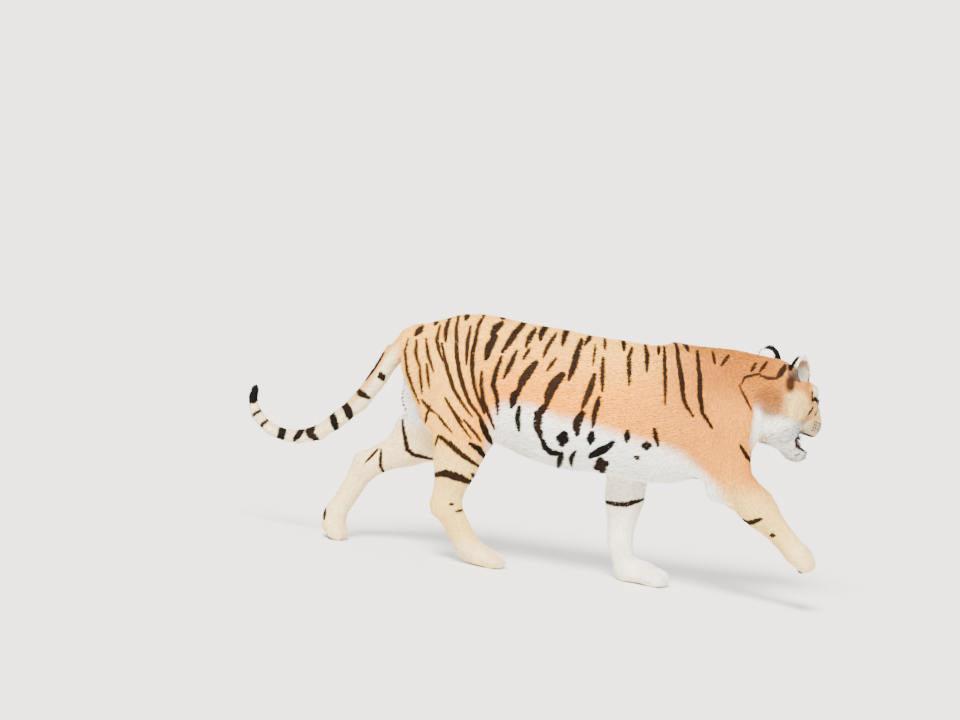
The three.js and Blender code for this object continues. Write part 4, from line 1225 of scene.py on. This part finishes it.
for side, name in SIDES:
    centre, radius, axes = EYES[side]
    clear_selection()
    bpy.ops.mesh.primitive_uv_sphere_add(segments=40, ring_count=26, radius=1)
    eyeball = bpy.context.object
    eyeball.name = f"eyeball_{name}"
    local = corners_of(eyeball)
    bulge = 1 + 0.05 * smooth_step(0.78, 0.95, local[:, 2])
    sight, outer, up = axes
    turned_ball = local[:, 2:3] * sight + local[:, 0:1] * outer + local[:, 1:2] * up * side
    put_corners(eyeball, to_metres(centre + turned_ball * radius * bulge[:, None]))
    off_sight = np.arccos(np.clip(local[:, 2], -1, 1)) / math.pi
    for layer in list(eyeball.data.uv_layers):
        eyeball.data.uv_layers.remove(layer)
    sight_map = eyeball.data.uv_layers.new(name="Sight")
    loops = read_all(eyeball.data.loops, "vertex_index", 1, np.int32)[:, 0]
    turn = np.arctan2(local[:, 1], local[:, 0]) / (2 * math.pi) + 0.5
    sight_map.data.foreach_set("uv", np.stack([off_sight, turn], 1)[loops].astype(np.float32).ravel())
    face_outwards(eyeball)
    finish_piece(eyeball, glass_eye, [f"eye_{name}"])
print("eyeballs at", {name: EYES[side][0].round() for side, name in SIDES})

# %% [markdown]
# ## Rods: eye rims and whiskers
#
# Both are thin round rods along a curve. One helper sweeps a ring of corners along a line of places,
# with a radius at each, and closes the ends.

# %% A rod along a curve


def rods(name, curves, sides=6):
    """One mesh of closed rods; each curve is (places in body axes, radii), and may be a loop."""
    points, faces = [], []
    for line, radii, loop in curves:
        line, radii = np.asarray(line, float), np.asarray(radii, float)
        ways = unit(np.roll(line, -1, 0) - np.roll(line, 1, 0)) if loop else unit(np.gradient(line, axis=0))
        start = len(points)
        helper = np.array([0.3, 0.5, 0.81])
        for place_here, forward, radius in zip(line, ways, radii):
            first = unit(np.cross(forward, helper))
            second = np.cross(forward, first)
            for n in range(sides):
                angle = 2 * math.pi * n / sides
                points.append(place_here + radius * (first * math.cos(angle) + second * math.sin(angle)))
        rings = len(line)
        for r in range(rings if loop else rings - 1):
            for n in range(sides):
                m = (n + 1) % sides
                a, b = start + r * sides, start + (r + 1) % rings * sides
                faces.append((a + n, a + m, b + m, b + n))
        if not loop:
            faces.append(tuple(start + n for n in reversed(range(sides))))
            faces.append(tuple(start + (rings - 1) * sides + n for n in range(sides)))
    mesh = bpy.data.meshes.new(name)
    mesh.from_pydata(to_metres(np.array(points)).tolist(), [], faces)
    mesh.update()
    piece = bpy.data.objects.new(name, mesh)
    bpy.context.collection.objects.link(piece)
    face_outwards(piece)
    return piece


# Bare black eyelid skin: smooth and a little moist.
lid_skin, _, _ = new_material("black_lid_skin", Base_Color=opaque(linear("#17100D")), Roughness=0.42)
for side, name in SIDES:
    centre, radius, axes = EYES[side]
    turns = np.linspace(0, 2 * math.pi, 40, endpoint=False)
    across_eye = (OPEN_LONG + 0.03) * np.cos(turns)
    up_eye = np.sign(np.sin(turns)) * (almond(np.clip(across_eye, -OPEN_LONG, OPEN_LONG)) + 0.02)
    up_eye = np.convolve(np.r_[up_eye[-1], up_eye, up_eye[0]], [0.2, 0.6, 0.2], "valid")
    ahead_eye = np.sqrt(np.clip(1.06**2 - across_eye**2 - up_eye**2, 0.1, 2))
    rim = centre + radius * (np.stack([ahead_eye, across_eye, up_eye], 1) @ axes)
    finish_piece(rods(f"lid_rim_{name}", [(rim, np.full(40, 1.7), True)], 6), lid_skin)
print("lid rims done")

# %% Whiskers
# A whisker is a stiff white horn rod, about 1 mm thick at its root and up to 120 mm long.
whisker_horn, _, _ = new_material("whisker_horn", Base_Color=opaque(linear("#F2EDE2")), Roughness=0.35,
                                  IOR=1.55)
curves = []
for side, name in SIDES:
    for n, (u, w) in enumerate(PAD_DOTS):
        if n % 2 or u < 146:
            continue
        start = np.array([u, side * (60 - max(0, u - 170) * 0.9), w])
        long = random.uniform(70, 105) * (0.72 if side == LEFT else 1)
        out = unit(np.array([-0.35 - 0.5 * random.random(), side * 1.0, -0.25 + 0.3 * random.random()]))
        t = np.linspace(0, 1, 9)[:, None]
        line = start + out * long * t + np.array([-18, 0, -16]) * t**2
        curves.append((np.array([from_head(*p) for p in line]), 0.55 * (1 - 0.85 * t[:, 0]), False))
whiskers = rods("whiskers", curves, 5)
finish_piece(whiskers, whisker_horn)
print(len(curves), "whiskers")

# %% [markdown]
# ## Corners of the mouth
#
# Behind the teeth a tiger's cheeks join the jaws with a black, hairless fold that stretches as the
# mouth opens. It is a sheet with a hollow front edge, hung between the two lips, and given a
# thickness.

# %% Cheek folds
for side, name in SIDES:
    clear_selection()
    bpy.ops.mesh.primitive_grid_add(x_subdivisions=10, y_subdivisions=12, size=2)
    fold = bpy.context.object
    fold.name = f"cheek_fold_{name}"
    grid = corners_of(fold)
    back, rise = (grid[:, 0] + 1) / 2, (grid[:, 1] + 1) / 2
    bow = np.sin(math.pi * rise)
    u = 70 + back * (58 - 28 * bow)
    low = np.interp(u, *MOUTH_FLOOR) - 4
    w = low + rise * (np.interp(u, *MOUTH_TOP) + 4 - low)
    v = side * (np.interp(u, [70, 100, 130], [60, 54, 46]) - 5 * bow)
    put_corners(fold, to_metres(np.array([from_head(*p) for p in np.stack([u, v, w], 1)])))
    apply_modifier(fold, "SOLIDIFY", thickness=0.003, offset=0.0)
    bpy.ops.object.shade_smooth()
    finish_piece(fold, lid_skin)
print("cheek folds done")

# %% [markdown]
# ## Nose leather
#
# The nose is bare, pebbled, pink skin with two comma-shaped nostrils. It starts as a ball, pulled
# into a rounded triangle, with the nostrils pressed in and painted dark as painted shade.

# %% Nose
nose_leather, tree, shader = new_material("nose_leather", Roughness=0.45, IOR=1.45)
where = add_node(tree, "ShaderNodeTexCoord")
pebbles = add_node(tree, "ShaderNodeTexVoronoi", [("Vector", where.outputs["Object"])], Scale=1 / 0.0016)
bump = add_node(tree, "ShaderNodeBump", [("Height", pebbles.outputs["Distance"])],
                Strength=0.35, Distance=0.0004)
tree.links.new(bump.outputs["Normal"], shader.inputs["Normal"])
painted = add_node(tree, "ShaderNodeAttribute", attribute_name="Coat")
tree.links.new(painted.outputs["Color"], shader.inputs["Base Color"])

clear_selection()
bpy.ops.mesh.primitive_uv_sphere_add(segments=48, ring_count=32, radius=1)
nose = bpy.context.object
nose.name = "nose"
ball = corners_of(nose)
u, v, w = ball[:, 0], ball[:, 1], ball[:, 2]
narrow = 1 - 0.42 * smooth_step(0.1, -1, w)
shape = np.stack([u * 13, v * 24 * narrow, w * 17], 1)
hole = np.zeros(len(ball))
for side in (1, -1):
    off = np.hypot((shape[:, 1] - side * 11) / 6.2, (shape[:, 2] + 2) / 4.2)
    wing = np.hypot((shape[:, 1] - side * 17) / 4.5, (shape[:, 2] - 1) / 2.6)
    hole = np.maximum(hole, np.maximum(smooth_step(1.25, 0.5, off), smooth_step(1.25, 0.5, wing)))
hole *= u > -0.3
shape[:, 0] -= 8 * hole
shape[:, 0] -= 2.5 * smooth_step(2.6, 0.6, np.abs(shape[:, 1])) * smooth_step(4, -6, shape[:, 2])
put_corners(nose, to_metres(np.array([from_head(*p) for p in shape + (206, 0, -29)])))
# painted shade: the pressed-in nostrils are painted near black
leather = mix(np.tile(linear("#A8685C"), (len(ball), 1)), linear("#2A1512"), hole)
leather = mix(leather, linear("#5E3A33"), smooth_step(0.5, 0.95, np.hypot(v, w)) * 0.6)
paint(nose.data, leather)
face_outwards(nose)
finish_piece(nose, nose_leather)
print("nose", len(nose.data.polygons), "faces")

# %% [markdown]
# ## Tongue, claws and pads
#
# The tongue stays the frame's own solid, with a moist pink finish. Claws are drawn in as a cat
# walks, so only their tips show, horn coloured, one at each toe. Pads are black leather cushions
# under the toes and the ball of the foot.

# %% Tongue
tongue_skin, _, _ = new_material("tongue_skin", Base_Color=opaque(linear("#A9584F")),
                                 Roughness=0.35, IOR=1.4)
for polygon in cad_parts["tongue"].data.polygons:
    polygon.use_smooth = True
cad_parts["tongue"].data.materials.clear()
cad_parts["tongue"].data.materials.append(tongue_skin)
print("tongue finished")

# %% Claws
claw_horn, _, _ = new_material("claw_horn", Base_Color=opaque(linear("#CDBFA6")), Roughness=0.35, IOR=1.54)
curves = []
for name in PAWS:
    for step in (-1.5, -0.5, 0.5, 1.5):
        knuckle, end = toe_line(name, step)
        ahead = unit(end - knuckle)
        t = np.linspace(0, 1, 6)[:, None]
        base = end + ahead * (16 if name == "left_hind" else 23) + np.array([0, 0, 6.0])
        line = base + ahead * 15 * t + np.array([0, 0, -8.0]) * t**2
        line[:, 2] = np.maximum(line[:, 2], 3.4)
        curves.append((line, 2.6 * (1 - t[:, 0]) + 0.3, False))
claws = rods("claws", curves, 7)
finish_piece(claws, claw_horn)
print(len(curves), "claws")

# %% Pads
pad_leather, _, _ = new_material("pad_leather", Base_Color=opaque(linear("#3A2A26")), Roughness=0.7)
clear_selection()
pads = []
for name, path in LEG_PATHS.items():
    knuckle, tip_place = (np.array(p, float) for p in path[-2:])
    ahead = unit(tip_place - knuckle)
    sole = unit(np.cross(ahead, np.array([0, 1.0, 0])))
    sole = sole if sole[2] < 0 else -sole
    spots = [(knuckle * 0.7 + tip_place * 0.3 + sole * 33, (24, 32, 8))]
    for step in (-1.5, -0.5, 0.5, 1.5):
        end = toe_line(name, step)[1]
        spots.append((end + sole * 26 + ahead * 5, (14, 10, 7)))
    for centre, (long, wide, thick) in spots:
        bpy.ops.mesh.primitive_uv_sphere_add(segments=16, ring_count=10, radius=1)
        pad = bpy.context.object
        local = corners_of(pad)
        body = centre + local[:, :1] * ahead * long + local[:, 1:2] * np.array([0, 1.0, 0]) * wide \
            + local[:, 2:3] * sole * thick
        body[:, 2] = np.maximum(body[:, 2], 0.3)
        put_corners(pad, to_metres(body))
        pads.append(pad)
pads = join_pieces(pads, "pads")
face_outwards(pads)
finish_piece(pads, pad_leather)
print("pads", len(pads.data.polygons), "faces")

# %% [markdown]
# ## Floor, light and camera
#
# A pale floor runs on to the horizon, so nothing but floor shows behind the animal. The light is one
# large soft lamp, high behind the camera and a little to its left, and an even sky. The camera
# stands far off with a long lens, higher than the back, looks a little down and leans to one side.

# %% Floor
FLOOR_HALF = 900
clear_selection()
bpy.ops.mesh.primitive_plane_add(size=2 * FLOOR_HALF, location=(0, 0, 0))
floor = bpy.context.object
floor.name = "studio_floor"
floor_paint, _, _ = new_material("pale_floor_paint", Base_Color=opaque(linear("#EFECE5")), Roughness=0.9)
floor.data.materials.append(floor_paint)

# %% Light
bpy.ops.object.light_add(type="SUN")
lamp = bpy.context.object
lamp.data.energy = 11.0
lamp.data.angle = math.radians(22)
lamp.data.color = (1.0, 0.96, 0.9)
lamp.rotation_mode = "XYZ"
lamp.rotation_euler = (math.radians(38), math.radians(-16), math.radians(6))
sky = bpy.data.worlds.new("studio_sky")
sky.use_nodes = True
sky.node_tree.nodes["Background"].inputs["Color"].default_value = (0.93, 0.96, 1.0, 1)
sky.node_tree.nodes["Background"].inputs["Strength"].default_value = 1.8
bpy.context.scene.world = sky

# %% Camera
CAMERA_FAR = 15.5
LOOK_DOWN, LEAN = math.radians(6), math.radians(8.4)
aim = to_metres([-313.0, 0, 749])
forward = np.array([0, math.cos(LOOK_DOWN), -math.sin(LOOK_DOWN)])
level_up = np.array([0, math.sin(LOOK_DOWN), math.cos(LOOK_DOWN)])
level_right = np.array([1.0, 0, 0])
right = level_right * math.cos(LEAN) + level_up * math.sin(LEAN)
up = -level_right * math.sin(LEAN) + level_up * math.cos(LEAN)
camera_data = bpy.data.cameras.new("camera")
camera = bpy.data.objects.new("camera", camera_data)
bpy.context.collection.objects.link(camera)
camera_data.sensor_width = 36
camera_data.lens = 10.125 * CAMERA_FAR
camera_data.clip_end = 4000
pose = np.eye(4)
pose[:3, 0], pose[:3, 1], pose[:3, 2] = right, up, -forward
pose[:3, 3] = aim - forward * CAMERA_FAR
camera.matrix_world = Matrix(pose.tolist())
bpy.context.scene.camera = camera
print("camera at", pose[:3, 3].round(2))

# %% The end
bpy.context.view_layer.update()
